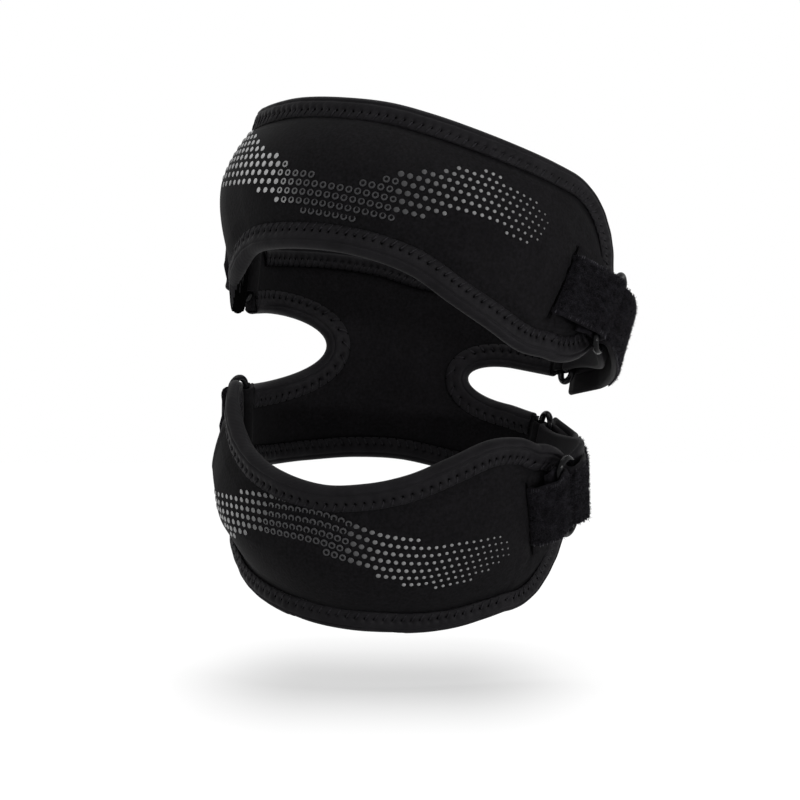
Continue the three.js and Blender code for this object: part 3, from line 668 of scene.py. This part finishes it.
def padHeight(pad, angle, z):
    top, bottom = padEdges(pad, angle)
    inset = np.minimum((z - bottom) * edgeShare(pad, 1, angle), (top - z) * edgeShare(pad, 0, angle))
    depth = np.maximum((top - bottom) / 2 - padForm["frame"], 1)
    away = 1 - np.clip((inset - padForm["frame"]) / depth, 0, 1)
    fade = blendStep(angle - pad["leftTip"]["angle"], padForm["tipFlat"], pad["leftTip"]["fade"])
    fade = fade * blendStep(pad["rightTip"]["angle"] - angle, padForm["tipFlat"], pad["rightTip"]["fade"])
    rolled, swollen, slitted = [
        blendStep(inset, padForm[key], padForm["inner"]) for key in ("rollFrom", "swellFrom", "slitFrom")
    ]
    roll = padForm["edgeRoll"] * rolled * (0.5 + 0.5 * fade)
    crown = (padForm["bulge"] - padForm["edgeRoll"]) * (1 - away * away) * fade
    swell = pad["swell"]
    near = ((angle - swell["angle"]) / swell["width"]) ** 2 + ((z - swell["z"]) / swell["height"]) ** 2
    height = padForm["sheetOuter"] + roll + crown + swell["out"] * np.exp(-near) * swollen
    for slit in pad["slits"]:
        across, along = fromSlit(slit, angle, z)
        past = np.maximum(np.abs(along) - slitForm["half"], 0)
        groove = np.exp(-(across / slitForm["width"]) ** 2 - (past / slitForm["end"]) ** 2)
        reach = np.hypot(across, past)
        folds = np.cos(slitForm["folds"] * np.arctan2(across, past + 0.01))
        ends = blendStep(np.abs(along), slitForm["puckerFrom"], slitForm["puckerTo"])
        pucker = folds * np.exp(-reach / slitForm["reach"]) * ends
        height = height + (slitForm["pucker"] * pucker - slitForm["depth"] * groove) * slitted
    return height


def padAngles(pad):
    first, last = pad["edges"]["at"][0], pad["edges"]["at"][-1]
    steps = np.arange(1, padForm["tipSteps"] + 1) / padForm["tipSteps"]
    ease = padForm["tipReach"] * np.sin(steps * math.pi / 2)
    left = first + (pad["leftTip"]["angle"] - first) * ease[::-1]
    right = last + (pad["rightTip"]["angle"] - last) * ease
    return np.concatenate([left, np.linspace(first, last, padForm["bodySteps"] + 1), right])


def addPad(name, pad, node):
    angles = padAngles(pad)
    rows = padForm["rows"]

    def spot(column, row):
        angle = angles[column]
        top, bottom = padEdges(pad, angle)
        return angle, bottom + (top - bottom) * row / rows

    def outer(column, row):
        angle, z = spot(column, row)
        return layer(angle, z, padHeight(pad, angle, z))

    def inner(column, row):
        angle, z = spot(column, row)
        return layer(angle, z, padForm["sheetInner"] + 0 * z)

    bm = bmesh.new()
    mappedGrid(bm, len(angles) - 1, rows, outer)
    mappedGrid(bm, len(angles) - 1, rows, inner)
    bmesh.ops.bridge_loops(bm, edges=[edge for edge in bm.edges if edge.is_boundary])
    piece = addPiece(name + "PadCover", bm, "jersey", "neoprene", node)
    path = tapePath(
        np.concatenate([angles, angles[::-1]]),
        np.concatenate([padEdges(pad, angles)[1], padEdges(pad, angles[::-1])[0]]), 1, True,
    )
    addTape(name + "PadTape", path, node + "_binding")
    addStitches(name + "PadStitches", path)


for name, pad in pads.items():
    addPad(name, pad, name + "_pad")
print("pads made")


# Printed dots: a lattice inside a wave along each pad, wider to the left and closing up to the right
dots = {"height": 0.22, "ringFrom": 2.0, "samples": 600, "rowsEachWay": 15}
lattice = {
    "at": (-84, -56, -36, -10, 9, 25, 44),
    "pitch": (3.3, 3.0, 2.5, 2.25, 2.1, 1.95, 1.85),
    "rowPitch": (2.3, 2.3, 2.3, 2.33, 2.25, 2.1, 2.0),
}


# How much closer the dots stand, from one end of the wave to the other
def closeness(wave, angle):
    return np.interp(angle, (wave["at"][0], wave["at"][-1]), wave["closeness"])


def addPrint(name, pad):
    wave = pad["print"]
    fine = np.linspace(wave["at"][0], wave["at"][-1], dots["samples"])
    middle = (wave["top"][0] + wave["bottom"][0]) / 2
    run = np.linalg.norm(np.diff(onLeg(fine, middle + 0 * fine), axis=0), axis=1)
    passed = run * closeness(wave, fine[1:]) / readTable(lattice, "pitch", fine[1:])
    count = np.concatenate([[0], np.cumsum(passed)])
    places = []
    for row in range(-dots["rowsEachWay"], dots["rowsEachWay"] + 1):
        angle = np.interp(np.arange(0, count[-1]) + (row % 2) / 2, count, fine)
        rowPitch = readTable(lattice, "rowPitch", angle) / closeness(wave, angle)
        z = middle + row * rowPitch + readTable(wave, "lift", angle)
        kept = (z < readTable(wave, "top", angle)) & (z > readTable(wave, "bottom", angle))
        places.append(np.stack([angle, z], 1)[kept])
    angle, z = np.concatenate(places).T
    along, up, out = legFrame(angle, z)[2:]
    size = readTable(wave, "size", angle)[:, None]
    # each dot's painted light: brighter towards the pads' ends, dim in the middle
    shade = readTable(wave, "shade", angle)
    middles = layer(angle, z, padHeight(pad, angle, z))
    axes = np.stack([out * 2 * dots["height"], along * size, up * size], 1)
    full = size[:, 0] < dots["ringFrom"]
    scatter(name + "PadDots", ballShape(10, 4), axes[full], middles[full], "print", shade[full])
    axes = np.stack([along * size, up * size, out * size], 1)
    hollow = ~full
    scatter(name + "PadRings", ringShape(), axes[hollow], middles[hollow], "print", shade[hollow])


for name, pad in pads.items():
    addPrint(name, pad)
print("print made")


# Rear panel: top and bottom edges, and the notch on each side
panel = {
    "edges": {
        "at": (108, 125, 140, 157, 175, 193, 210, 228, 245, 258),
        "top": (27, 28.5, 30.5, 31.6, 32.2, 34.6, 34.7, 33.2, 31.5, 30.6),
        "bottom": (-35, -34.3, -33, -31.9, -30.7, -32.1, -35.1, -38, -38.5, -37.5),
    },
    "leftNotch": {"apex": 206.9, "end": 266, "apexZ": 2.6, "endZ": -4.5, "half": 11.2, "nose": 27},
    "rightNotch": {"apex": 155.1, "end": 100, "apexZ": -0.9, "endZ": -4.3, "half": 6, "nose": 15},
    "noseLead": 1, "noseRun": 12, "noseSteps": 18, "armSteps": 26, "webSteps": 50, "rows": 34, "fill": 0.5,
    "endLean": 14, "seamReach": 0.02, "tapeSteps": 200, "notchSteps": 60, "notchStart": 0.02,
}
rings = {
    "wire": 1, "halfWidth": 3.2, "straight": 19, "lift": 1.8, "barGap": 0.3, "endSteps": 24, "sides": 14,
}
webbing = {
    "width": 20, "edgeBand": 2.2, "edgeSteps": 9, "flatSteps": 14, "foldSteps": 20, "overTape": 4.6,
    "sewnGap": 0.3,
}
tabForm = {
    "thickness": 1.2, "lip": 0.2, "dip": 1, "tail": 3, "clear": 0.5, "sunk": 1.6, "rise": 0.22,
    "overSteps": 15, "inSteps": 8, "backSteps": 10, "pileFirst": 1, "pilePast": 12,
}
strapForm = {
    "thickness": 2, "sewnEnd": 9, "straight": 2, "pull": 0.8, "runSteps": 24, "endSteps": 5,
    "pileLead": 10, "pileStations": 30,
}
armEye = {
    "wall": 1.25, "tail": 5, "tailGap": 0.55, "neck": 1.8, "neckGap": 0.8, "turn": 0.78, "steps": 29,
    "height": 18, "edge": 10.5, "taper": 11, "tapeClear": 3.15,
}
ringOverPad = (
    webbing["overTape"] + webbing["sewnGap"] + tabForm["thickness"] + rings["barGap"] + rings["wire"]
    + rings["lift"]
)
ringInArm = tape["middle"]
corners = {
    "upperRight": {
        "node": "upper_right",
        "pad": "upper", "side": 1, "slit": pads["upper"]["slits"][0], "tuck": {"angle": 53.8, "z": 24.8},
        "outerPull": 0.45, "strapEndDrop": 5.5, "tabSlide": -0.6,
        "front": {"angle": 59.4, "z": 22, "out": ringOverPad, "tilt": 31, "pitch": 14},
        "rear": {"angle": 126, "z": 14.2, "out": ringInArm, "tilt": 9, "pitch": -18},
    },
    "lowerRight": {
        "node": "lower_right",
        "pad": "lower", "side": 1, "slit": pads["lower"]["slits"][0], "tuck": {"angle": 53.2, "z": -33},
        "outerPull": 0.08, "strapEndDrop": -1, "tabSlide": 1,
        "front": {"angle": 56.4, "z": -28.6, "out": ringOverPad, "tilt": -32, "pitch": 10},
        "rear": {"angle": 129.8, "z": -20.8, "out": ringInArm, "tilt": -11, "pitch": -30},
    },
    "upperLeft": {
        "node": "upper_left", "tabSlide": 0,
        "pad": "upper", "side": -1, "slit": pads["upper"]["slits"][1], "tuck": {"angle": -105.5, "z": 28},
        "rear": {"angle": -117.5, "z": 24.2, "out": ringInArm, "tilt": 20, "pitch": 25},
    },
    "lowerLeft": {
        "node": "lower_left", "tabSlide": 0,
        "pad": "lower", "side": -1, "slit": pads["lower"]["slits"][1], "tuck": {"angle": -105.5, "z": -30},
        "rear": {"angle": -117.5, "z": -22, "out": ringInArm, "tilt": -18, "pitch": 25},
    },
}


# Directions at a place for a bar with a tilt: to the front, along the bar and outward
def barFrame(corner, place, tilt):
    along, up, out = legFrame(place["angle"], place["z"])[2:]
    ahead = along * -corner["side"]
    turn = math.radians(tilt)
    return ahead * math.cos(turn) + up * math.sin(turn), up * math.cos(turn) - ahead * math.sin(turn), out


def ringFrame(corner, seat):
    fore, bar, face = barFrame(corner, seat, seat["tilt"])
    turn = math.radians(seat["pitch"])
    turnedFore = fore * math.cos(turn) + face * math.sin(turn)
    turnedFace = face * math.cos(turn) - fore * math.sin(turn)
    middle = layer(seat["angle"], seat["z"], seat["out"])
    if seat is corner["rear"]:
        middle = middle + turnedFore * rings["halfWidth"]
    return {"middle": middle, "fore": turnedFore, "bar": bar, "face": turnedFace}


def inFrame(frame, fore, face, bar=0):
    return frame["middle"] + frame["fore"] * fore + frame["face"] * face + frame["bar"] * bar


def addRing(name, frame, node):
    halfTurn = np.linspace(0, math.pi, rings["endSteps"] + 1)
    turns = np.tile(halfTurn, 2)
    ends = np.repeat([1, -1], len(halfTurn))
    sides = rings["sides"]

    def place(column, row):
        k = column % len(turns)
        around = 2 * math.pi * row / sides
        reach = ends[k] * (rings["halfWidth"] + rings["wire"] * np.cos(around))
        fore = np.cos(turns[k]) * reach
        bar = np.sin(turns[k]) * reach + ends[k] * rings["straight"] / 2
        face = rings["wire"] * np.sin(around)
        return inFrame(frame, fore[:, None], face[:, None], bar[:, None])

    bm = bmesh.new()
    mappedGrid(bm, len(turns), sides, place)
    weld(bm)
    addPiece(name, bm, "ring", "ring", node)


# Angle, on the upper (1) or lower (-1) edge of an arm, a distance behind the bar that the arm holds
def armStop(corner, edge, behind):
    rear = corner["rear"]
    fore, bar = barFrame(corner, rear, rear["tilt"])[:2]
    angle = slide(rear["angle"], rear["z"], bar * edge * webbing["width"] / 2 - fore * behind)[0]
    return angle % 360


# Draws an arm's edge in towards the bar that the arm holds, over its last degrees
def armTaper(z, angle, edge, names):
    for name in names:
        corner = corners[name]
        away = np.abs(angle - armStop(corner, edge, armEye["wall"]))
        shift = corner["rear"]["z"] + edge * armEye["edge"] - z
        shift = np.minimum(shift, 0) if edge > 0 else np.maximum(shift, 0)
        z = z + shift * blendStep(-away, -armEye["taper"], 0)
    return z


def panelEdge(edge, angle):
    upper = edge == "top"
    z = readTable(panel["edges"], edge, angle) + (-padForm["rim"] if upper else padForm["rim"])
    names = ("upperRight", "upperLeft") if upper else ("lowerRight",)
    return armTaper(z, angle, 1 if upper else -1, names)


# Which way round the leg a notch opens, and the angle of the sheet's own edge at its nose
def notchNose(notch):
    way = math.copysign(1, notch["end"] - notch["apex"])
    return way, notch["apex"] - way * panel["noseLead"]


def notchEdges(notch, angle):
    way, nose = notchNose(notch)
    run = np.maximum(way * (angle - nose), 0)
    back = np.clip(1 - run / notch["nose"], 0, 1)
    half = (notch["half"] + padForm["rim"]) * np.sqrt(1 - back * back)
    middle = notch["apexZ"] + (notch["endZ"] - notch["apexZ"]) * run / abs(notch["end"] - notch["apex"])
    names = ((), ("lowerLeft",)) if way > 0 else (("upperRight",), ("lowerRight",))
    return armTaper(middle + half, angle, -1, names[0]), armTaper(middle - half, angle, 1, names[1])


# Angles from the right arm's end to the left arm's, closing in on the nose of each notch
def panelAngles(first, last, rightNose, leftNose):
    run = panel["noseRun"] * (1 - np.cos(np.linspace(0, math.pi / 2, panel["noseSteps"])))
    right = rightNose - run[::-1]
    left = leftNose + run
    return np.concatenate([
        np.linspace(first, right[0], panel["armSteps"])[:-1], right,
        np.linspace(rightNose, leftNose, panel["webSteps"])[1:-1], left,
        np.linspace(left[-1], last, panel["armSteps"])[1:],
    ])


def panelStrip(bm, height, upper):
    level = "upper" if upper else "lower"
    right, left = corners[level + "Right"], corners[level + "Left"]
    endBehind = rings["wire"] + rings["barGap"] + armEye["wall"] / 2
    ends = {}
    for corner, arm in ((right, "right"), (left, "left")):
        ends[arm] = [armStop(corner, edge, endBehind) for edge in (-1, 1)], corner["rear"]["z"]
    rightNose, leftNose = [notchNose(panel[key])[1] for key in ("rightNotch", "leftNotch")]
    angles = panelAngles(np.mean(ends["right"][0]), np.mean(ends["left"][0]), rightNose, leftNose)
    edge = 0 if upper else 1

    def place(column, row):
        angle = angles[column]
        share = np.clip((angle - rightNose) / (leftNose - rightNose), 0, 1)
        web = panel["rightNotch"]["apexZ"] * (1 - share) + panel["leftNotch"]["apexZ"] * share
        inner = np.where(angle < rightNose, notchEdges(panel["rightNotch"], angle)[edge], web)
        inner = np.where(angle > leftNose, notchEdges(panel["leftNotch"], angle)[edge], inner)
        outer = panelEdge("top" if upper else "bottom", angle)
        z = inner + (outer - inner) * row / panel["rows"]
        for arm, limit in (("right", angles[0]), ("left", angles[-1])):
            (low, high), middle = ends[arm]
            lean = (high - low) / webbing["width"] * (z - middle)
            angle = angle + lean * blendStep(-np.abs(angles[column] - limit), -panel["endLean"], 0)
        return layer(angle, z, height + 0 * z)

    mappedGrid(bm, len(angles) - 1, panel["rows"], place)


def addPanel():
    shells = []
    for height in (padForm["sheetOuter"], padForm["sheetInner"]):
        shell = bmesh.new()
        panelStrip(shell, height, True)
        panelStrip(shell, height, False)
        bmesh.ops.remove_doubles(shell, verts=shell.verts, dist=panel["seamReach"] * mm)
        mesh = bpy.data.meshes.new("panelShell")
        shell.to_mesh(mesh)
        shell.free()
        shells.append(mesh)
    bm = bmesh.new()
    for mesh in shells:
        bm.from_mesh(mesh)
        bpy.data.meshes.remove(mesh)
    bmesh.ops.bridge_loops(bm, edges=[edge for edge in bm.edges if edge.is_boundary])
    piece = addPiece("rearPanelSheet", bm, "jersey", "neoprene", "rear_panel")


# Webbing through a row of points with the direction across it. The section is a row of (across, out) pairs
def addRibbon(name, points, bars, section, material, slot, *nodes):
    points, bars = np.array(points), unit(np.array(bars))
    faces = unit(np.cross(np.gradient(points, axis=0), bars))
    run = np.concatenate([[0], np.cumsum(np.linalg.norm(np.diff(points, axis=0), axis=1))])
    section = np.array(section)
    rows = len(section)

    def place(column, row):
        across, out = section[row % rows].T
        return points[column] + bars[column] * across[:, None] + faces[column] * out[:, None]

    bm = bmesh.new()
    mappedGrid(
        bm, len(points) - 1, rows, place,
        lambda column, row: np.stack([run[column], section[row % rows][:, 0]], -1),
    )
    weld(bm)
    closeEnds(bm)
    addPiece(name, bm, material, slot, *nodes)
    return points, bars, faces


# Section of a band with rounded edges; lip is how much thicker the edges are than the middle
def bandSection(width, thickness, lip=0):
    half, edge = width / 2, thickness / 2 + lip
    turns = np.linspace(-math.pi / 2, math.pi / 2, webbing["edgeSteps"])
    flat = np.linspace(-half + webbing["edgeBand"], half - webbing["edgeBand"], webbing["flatSteps"])
    right = [(half - edge + edge * math.cos(t), edge * math.sin(t)) for t in turns]
    upper = [(w, thickness / 2) for w in flat[::-1]]
    left = [(-half + edge - edge * math.cos(t), -edge * math.sin(t)) for t in turns]
    lower = [(w, -thickness / 2) for w in flat]
    return right + upper + left + lower


# Half turn round a bar of a ring, as places and the direction across the webbing
def fold(frame, barAt, way, radius, startFace):
    stations = []
    for t in np.linspace(0, math.pi, webbing["foldSteps"] + 1):
        fore = barAt + way * radius * math.sin(t)
        stations.append((inFrame(frame, fore, startFace * radius * math.cos(t)), frame["bar"]))
    return stations


# Loose stretch between two stations, with the directions in which it leaves and arrives
def freeRun(start, leave, stop, arrive, steps, pull=1):
    reach = np.linalg.norm(stop[0] - start[0]) * pull
    stations = []
    for t in np.arange(1, steps) / steps:
        bend = t * t * (3 - 2 * t)
        point = start[0] * (1 - bend) + stop[0] * bend
        point = point + leave * reach * t * (1 - t) ** 2 - arrive * reach * t * t * (1 - t)
        stations.append((point, unit(start[1] * (1 - t) + stop[1] * t)))
    return stations


# Tab: pile webbing from the slit in the pad to the ring, round the ring's front bar and back
def addTab(name, corner, frame, seat, node):
    pad = pads[corner["pad"]]
    half = tabForm["thickness"] / 2
    isRear = seat is corner["rear"]
    barAway = (2 if isRear else 1) * rings["halfWidth"] * math.sin(math.radians(seat["pitch"]))
    barHeight = seat["out"] + barAway + rings["wire"] + rings["barGap"] + half
    slit, tuck = corner["slit"], corner["tuck"]

    def spot(share):
        return {key: slit[key] + (tuck[key] - slit[key]) * share for key in ("angle", "z")}

    def station(share, height):
        tilt = slit["tilt"] + (seat["tilt"] - slit["tilt"]) * share
        return layer(**spot(share), height=height), barFrame(corner, spot(share), tilt)[1]

    overPad = []
    lowest = webbing["overTape"] + webbing["sewnGap"]
    for share in np.linspace(0, 1, tabForm["overSteps"]):
        overPadding = max(float(padHeight(pad, **spot(share))), lowest) + tabForm["clear"] + half
        sunk = tabForm["sunk"] * (1 - blendStep(share, 0, tabForm["rise"]))
        height = overPadding * (1 - share) + (barHeight - tabForm["dip"]) * share
        overPad.append(station(share, height - sunk))
    radius = rings["wire"] + rings["barGap"] + half
    turned = fold(frame, rings["halfWidth"], -1, radius, 1)
    onward = unit(overPad[-1][0] - overPad[-2][0])
    stations = overPad + freeRun(overPad[-1], onward, turned[0], -frame["fore"], tabForm["inSteps"]) + turned
    if isRear:
        stations.append((turned[-1][0] + frame["fore"] * tabForm["tail"], frame["bar"]))
    else:
        tucked = station(1, webbing["overTape"] + tabForm["clear"] + half)
        stations += freeRun(turned[-1], frame["fore"], tucked, -onward, tabForm["backSteps"]) + [tucked]
    points = [point + bar * corner["tabSlide"] for point, bar in stations]
    bars = [bar for point, bar in stations]
    section = bandSection(webbing["width"], tabForm["thickness"], tabForm["lip"])
    made = addRibbon(name + "Tab", points, bars, section, "pile", "pile", node)
    addPile(name + "Tab", *made, tabForm["pileFirst"], len(overPad) + tabForm["pilePast"], half)


# Loose loops on the outer face of webbing, between two of its stations, and ribs along its selvedges
pile = {
    "perMillimetre": 330, "length": (0.8, 1.9), "thickness": 0.24, "spread": 9.4, "lean": (30, 85),
    "rooted": 0.35, "tuftMean": 0.75, "tuftSwing": 0.35, "tuftWaves": ((1.3, 2.1), (-0.7, 0.9)),
    "ribPitch": 0.62, "ribSize": (0.34, 1.3, 0.5), "ribKept": 0.6, "ribStart": 0.4, "ribLift": 0.12,
}


def addPile(name, points, bars, faces, first, last, half):
    run = np.concatenate([[0], np.cumsum(np.linalg.norm(np.diff(points[first:last], axis=0), axis=1))])

    # Station, place and directions at distances along the webbing
    def onRun(distance):
        at = np.interp(distance, run, np.arange(first, last))
        k = at.astype(int)
        part = (at - k)[:, None]
        place = points[k] * (1 - part) + points[k + 1] * part
        return at[:, None], place, unit(np.cross(bars[k], faces[k])), bars[k], faces[k]

    count = int(pile["perMillimetre"] * run[-1])
    at, place, along, bar, face = onRun(dice.uniform(0, run[-1], count))
    across = dice.uniform(-pile["spread"], pile["spread"], count)[:, None]
    turn = dice.uniform(0, 2 * math.pi, count)[:, None]
    lean = np.radians(dice.uniform(*pile["lean"], count))[:, None]
    direction = face * np.cos(lean) + (along * np.cos(turn) + bar * np.sin(turn)) * np.sin(lean)
    waves = [np.sin(sideways * across + onward * at) for sideways, onward in pile["tuftWaves"]]
    tuft = pile["tuftMean"] + pile["tuftSwing"] * waves[0] * waves[1]
    length = dice.uniform(*pile["length"], count)[:, None] * tuft
    side = unit(np.cross(direction, face))
    other = np.cross(direction, side)
    axes = np.stack([side * pile["thickness"], other * pile["thickness"], direction * length], 1)
    middles = place + bar * across + face * half + direction * length * pile["rooted"]
    scatter(name + "Fibres", needleShape(), axes, middles, "fibre")
    thick, wide, high = pile["ribSize"]
    axes, middles = [], []
    for edge in (-1, 1):
        spots = np.arange(pile["ribStart"], run[-1], pile["ribPitch"])
        at, place, along, bar, face = onRun(spots[dice.uniform(0, 1, len(spots)) < pile["ribKept"]])
        axes.append(np.stack([bar * wide, along * thick, face * high], 1))
        middles.append(place + bar * edge * pile["spread"] + face * (half + pile["ribLift"]))
    scatter(name + "Ribs", ballShape(6, 4), np.concatenate(axes), np.concatenate(middles), "rib")


# Strap: sewn round the rear ring's front bar, then forward inside and back outside round the front ring
def addStrap(name, corner, front, rear, node):
    thickness, steps = strapForm["thickness"], strapForm["runSteps"]
    radius = rings["wire"] + rings["barGap"] + thickness / 2
    overSewn = radius + thickness + webbing["sewnGap"]
    half, drop = rings["halfWidth"], corner["strapEndDrop"]
    straight = half + strapForm["straight"]

    def at(frame, fore, face, bar=0):
        return inFrame(frame, fore, face, bar), frame["bar"]

    sewnEnd = at(rear, half + strapForm["sewnEnd"], radius)
    innerStart = at(rear, straight, -radius)
    innerEnd = at(front, -straight, -radius)
    outerStart = at(front, -straight, radius)
    overSeam = at(rear, half + strapForm["sewnEnd"], overSewn + webbing["sewnGap"], -drop)
    overRing = at(rear, -half, overSewn, -drop)
    stations = [sewnEnd] + fold(rear, half, -1, radius, 1) + [innerStart]
    stations += freeRun(innerStart, rear["fore"], innerEnd, front["fore"], steps, strapForm["pull"])
    stations.append(innerEnd)
    stations += fold(front, -half, 1, radius, -1) + [outerStart]
    pileFrom = len(stations) - strapForm["pileLead"]
    stations += freeRun(outerStart, -front["fore"], overSeam, -rear["fore"], steps, corner["outerPull"])
    stations.append(overSeam)
    stations += freeRun(overSeam, -rear["fore"], overRing, -rear["fore"], strapForm["endSteps"]) + [overRing]
    points, bars = zip(*stations)
    section = bandSection(webbing["width"], thickness)
    made = addRibbon(name + "Strap", points, bars, section, "strap", "neoprene", node)
    addPile(name + "Strap", *made, pileFrom, pileFrom + strapForm["pileStations"], thickness / 2)


# Sewn end of an arm: the neoprene folded round the ring's rear bar
def addArmEye(name, corner):
    fore, bar, face = barFrame(corner, corner["rear"], corner["rear"]["tilt"])
    middle = layer(corner["rear"]["angle"], corner["rear"]["z"], ringInArm)
    radius = rings["wire"] + rings["barGap"] + armEye["wall"] / 2
    turns = np.linspace(math.pi, -math.pi, armEye["steps"]) * armEye["turn"]
    tail = [(-armEye["tail"], armEye["tailGap"]), (armEye["neck"] - armEye["tail"], armEye["neckGap"])]
    path = tail + [(radius * math.cos(t), radius * math.sin(t)) for t in turns]
    path += [(f, -out) for f, out in tail[::-1]]
    points = [middle + fore * f + face * out for f, out in path]
    section = bandSection(armEye["height"], armEye["wall"])
    addRibbon(name + "ArmEnd", points, [bar] * len(points), section, "jersey", "neoprene")


# Near-black lens in the slit that a tab comes out of: a painted shadow in the slit
def addSlitShadow(name, corner):
    slit = corner["slit"]
    fore, bar, out = barFrame(corner, slit, slit["tilt"])
    height = float(padHeight(pads[corner["pad"]], slit["angle"], slit["z"])) + slitForm["paintedShadowLift"]
    middle = layer(slit["angle"], slit["z"], height)
    axes = (np.stack([bar, fore, out]) * np.array(slitForm["paintedShadowSize"])[:, None])[None]
    scatter(name + "Slit", ballShape(12, 24), axes, middle[None], "slit")


# Tape on one edge of the rear panel
def addRearTape(edge, angle, z, side):
    name = "rear" + edge.capitalize()
    path = tapePath(angle, z, side, False)
    addTape(name + "Tape", path, "rear_binding_" + edge)
    addStitches(name + "Stitches", path)


addPanel()
for edge, arm, side, pair in (
    ("top", 1, -1, ("upperRight", "upperLeft")), ("bottom", -1, 1, ("lowerRight", "lowerLeft")),
):
    first, last = [armStop(corners[name], arm, armEye["tapeClear"]) for name in pair]
    angle = np.linspace(first, last, panel["tapeSteps"])
    addRearTape(edge, angle, panelEdge(edge, angle), side)
for edge, side, pair in (
    ("left", -1, ("upperLeft", "lowerLeft")), ("right", 1, ("upperRight", "lowerRight")),
):
    notch = panel[edge + "Notch"]
    nose = notchNose(notch)[1]
    runs = 1 - np.cos(np.linspace(panel["notchStart"], math.pi / 2, panel["notchSteps"]))
    ends = [armStop(corners[name], arm, armEye["tapeClear"]) for name, arm in zip(pair, (-1, 1))]
    above, below = [nose + runs * (end - nose) for end in ends]
    angle = np.concatenate([above[::-1], below])
    z = np.concatenate([notchEdges(notch, above[::-1])[0], notchEdges(notch, below)[1]])
    addRearTape(edge, angle, z, side)
print("rear panel made")

for name, corner in corners.items():
    node = corner["node"]
    rear = ringFrame(corner, corner["rear"])
    addArmEye(name, corner)
    addSlitShadow(name, corner)
    if "front" in corner:
        front = ringFrame(corner, corner["front"])
        addRing(name + "RearRing", rear, node + "_rear_ring")
        addRing(name + "FrontRing", front, node + "_front_ring")
        addTab(name, corner, front, corner["front"], node + "_tab")
        addStrap(name, corner, front, rear, node + "_strap")
    else:
        addRing(name + "Ring", rear, node + "_ring")
        addTab(name, corner, rear, corner["rear"], node + "_tab")
print("rings, tabs and straps made")


# White sweep: a glowing paper floor with a painted soft shadow under the brace
def whiteFloor():
    material, tree, shader = newMaterial(
        "whitePaperWithPaintedShadow", Roughness=1, Specular_IOR_Level=0, Emission_Strength=picture["floorGlow"],
    )
    coordinate = addNode(tree, "ShaderNodeTexCoord").outputs["Object"]
    middle = (*[v * mm for v in picture["shadowMiddle"]], 0)
    moved = addNode(tree, "ShaderNodeVectorMath", {1: middle}, {0: coordinate}, operation="SUBTRACT")
    parts = addNode(tree, "ShaderNodeSeparateXYZ", None, {0: moved.outputs[0]})
    across = addNode(tree, "ShaderNodeMath", None, {0: parts.outputs["X"]}, operation="ABSOLUTE")
    low, high = [v * mm for v in picture["shadowEnds"]]
    ends = addNode(
        tree, "ShaderNodeMapRange", {"From Min": low, "From Max": high, "To Min": 1, "To Max": 0},
        {"Value": across.outputs[0]}, interpolation_type="SMOOTHSTEP",
    )
    spread = 1 / (picture["shadowSpread"] * mm)
    back = addNode(tree, "ShaderNodeMath", {1: spread}, {0: parts.outputs["Y"]}, operation="MULTIPLY")
    square = addNode(tree, "ShaderNodeMath", {1: 2}, {0: back.outputs[0]}, operation="POWER")
    bell = addNode(tree, "ShaderNodeMath", {0: math.exp(-0.5)}, {1: square.outputs[0]}, operation="POWER")
    share = addNode(
        tree, "ShaderNodeMath", None, {0: ends.outputs["Result"], 1: bell.outputs[0]}, operation="MULTIPLY",
    )
    # Painted shadow: the floor's glow and colour are darkened in a soft oval under the brace
    fade = addNode(
        tree, "ShaderNodeMapRange", {"To Min": 1, "To Max": picture["shadowDepth"]},
        {"Value": share.outputs[0]},
    ).outputs["Result"]
    glow = addNode(tree, "ShaderNodeCombineColor", None, {0: fade, 1: fade, 2: fade}).outputs["Color"]
    paper = addNode(
        tree, "ShaderNodeMix", {0: 1.0, 7: [picture["floorWhite"]] * 3 + [1]}, {6: glow}, data_type="RGBA",
        blend_type="MULTIPLY",
    )
    tree.links.new(glow, shader.inputs["Emission Color"])
    tree.links.new(paper.outputs[2], shader.inputs["Base Color"])
    return material


# Floor: level in the picture
def addFloor():
    bm = bmesh.new()
    bmesh.ops.create_grid(bm, x_segments=1, y_segments=1, size=picture["floorSize"] * mm / 2)
    turn = Vector((0, 0, 1)).rotation_difference(pictureUp).to_matrix()
    bmesh.ops.rotate(bm, verts=bm.verts, matrix=turn)
    bmesh.ops.translate(bm, verts=bm.verts, vec=pictureUp * -picture["floorDrop"] * mm)
    mesh = bpy.data.meshes.new("floor")
    bm.to_mesh(mesh)
    bm.free()
    floor = bpy.data.objects.new("floor", mesh)
    scene.collection.objects.link(floor)
    mesh.materials.append(whiteFloor())


addFloor()
world = bpy.data.worlds.new("studio")
scene.world = world
world.use_nodes = True
world.node_tree.nodes["Background"].inputs["Color"].default_value = (1, 1, 1, 1)
world.node_tree.nodes["Background"].inputs["Strength"].default_value = picture["worldStrength"]
for lamp in lamps:
    light = bpy.data.lights.new(lamp["name"], "AREA")
    light.size = lamp["size"] * mm
    light.energy = lamp["power"]
    piece = bpy.data.objects.new(lamp["name"], light)
    at = Vector(lamp["at"]) * mm
    piece.matrix_world = Matrix.Translation(at) @ lookAlong(-at, Vector(lampUp))
    scene.collection.objects.link(piece)
print("floor and light made")
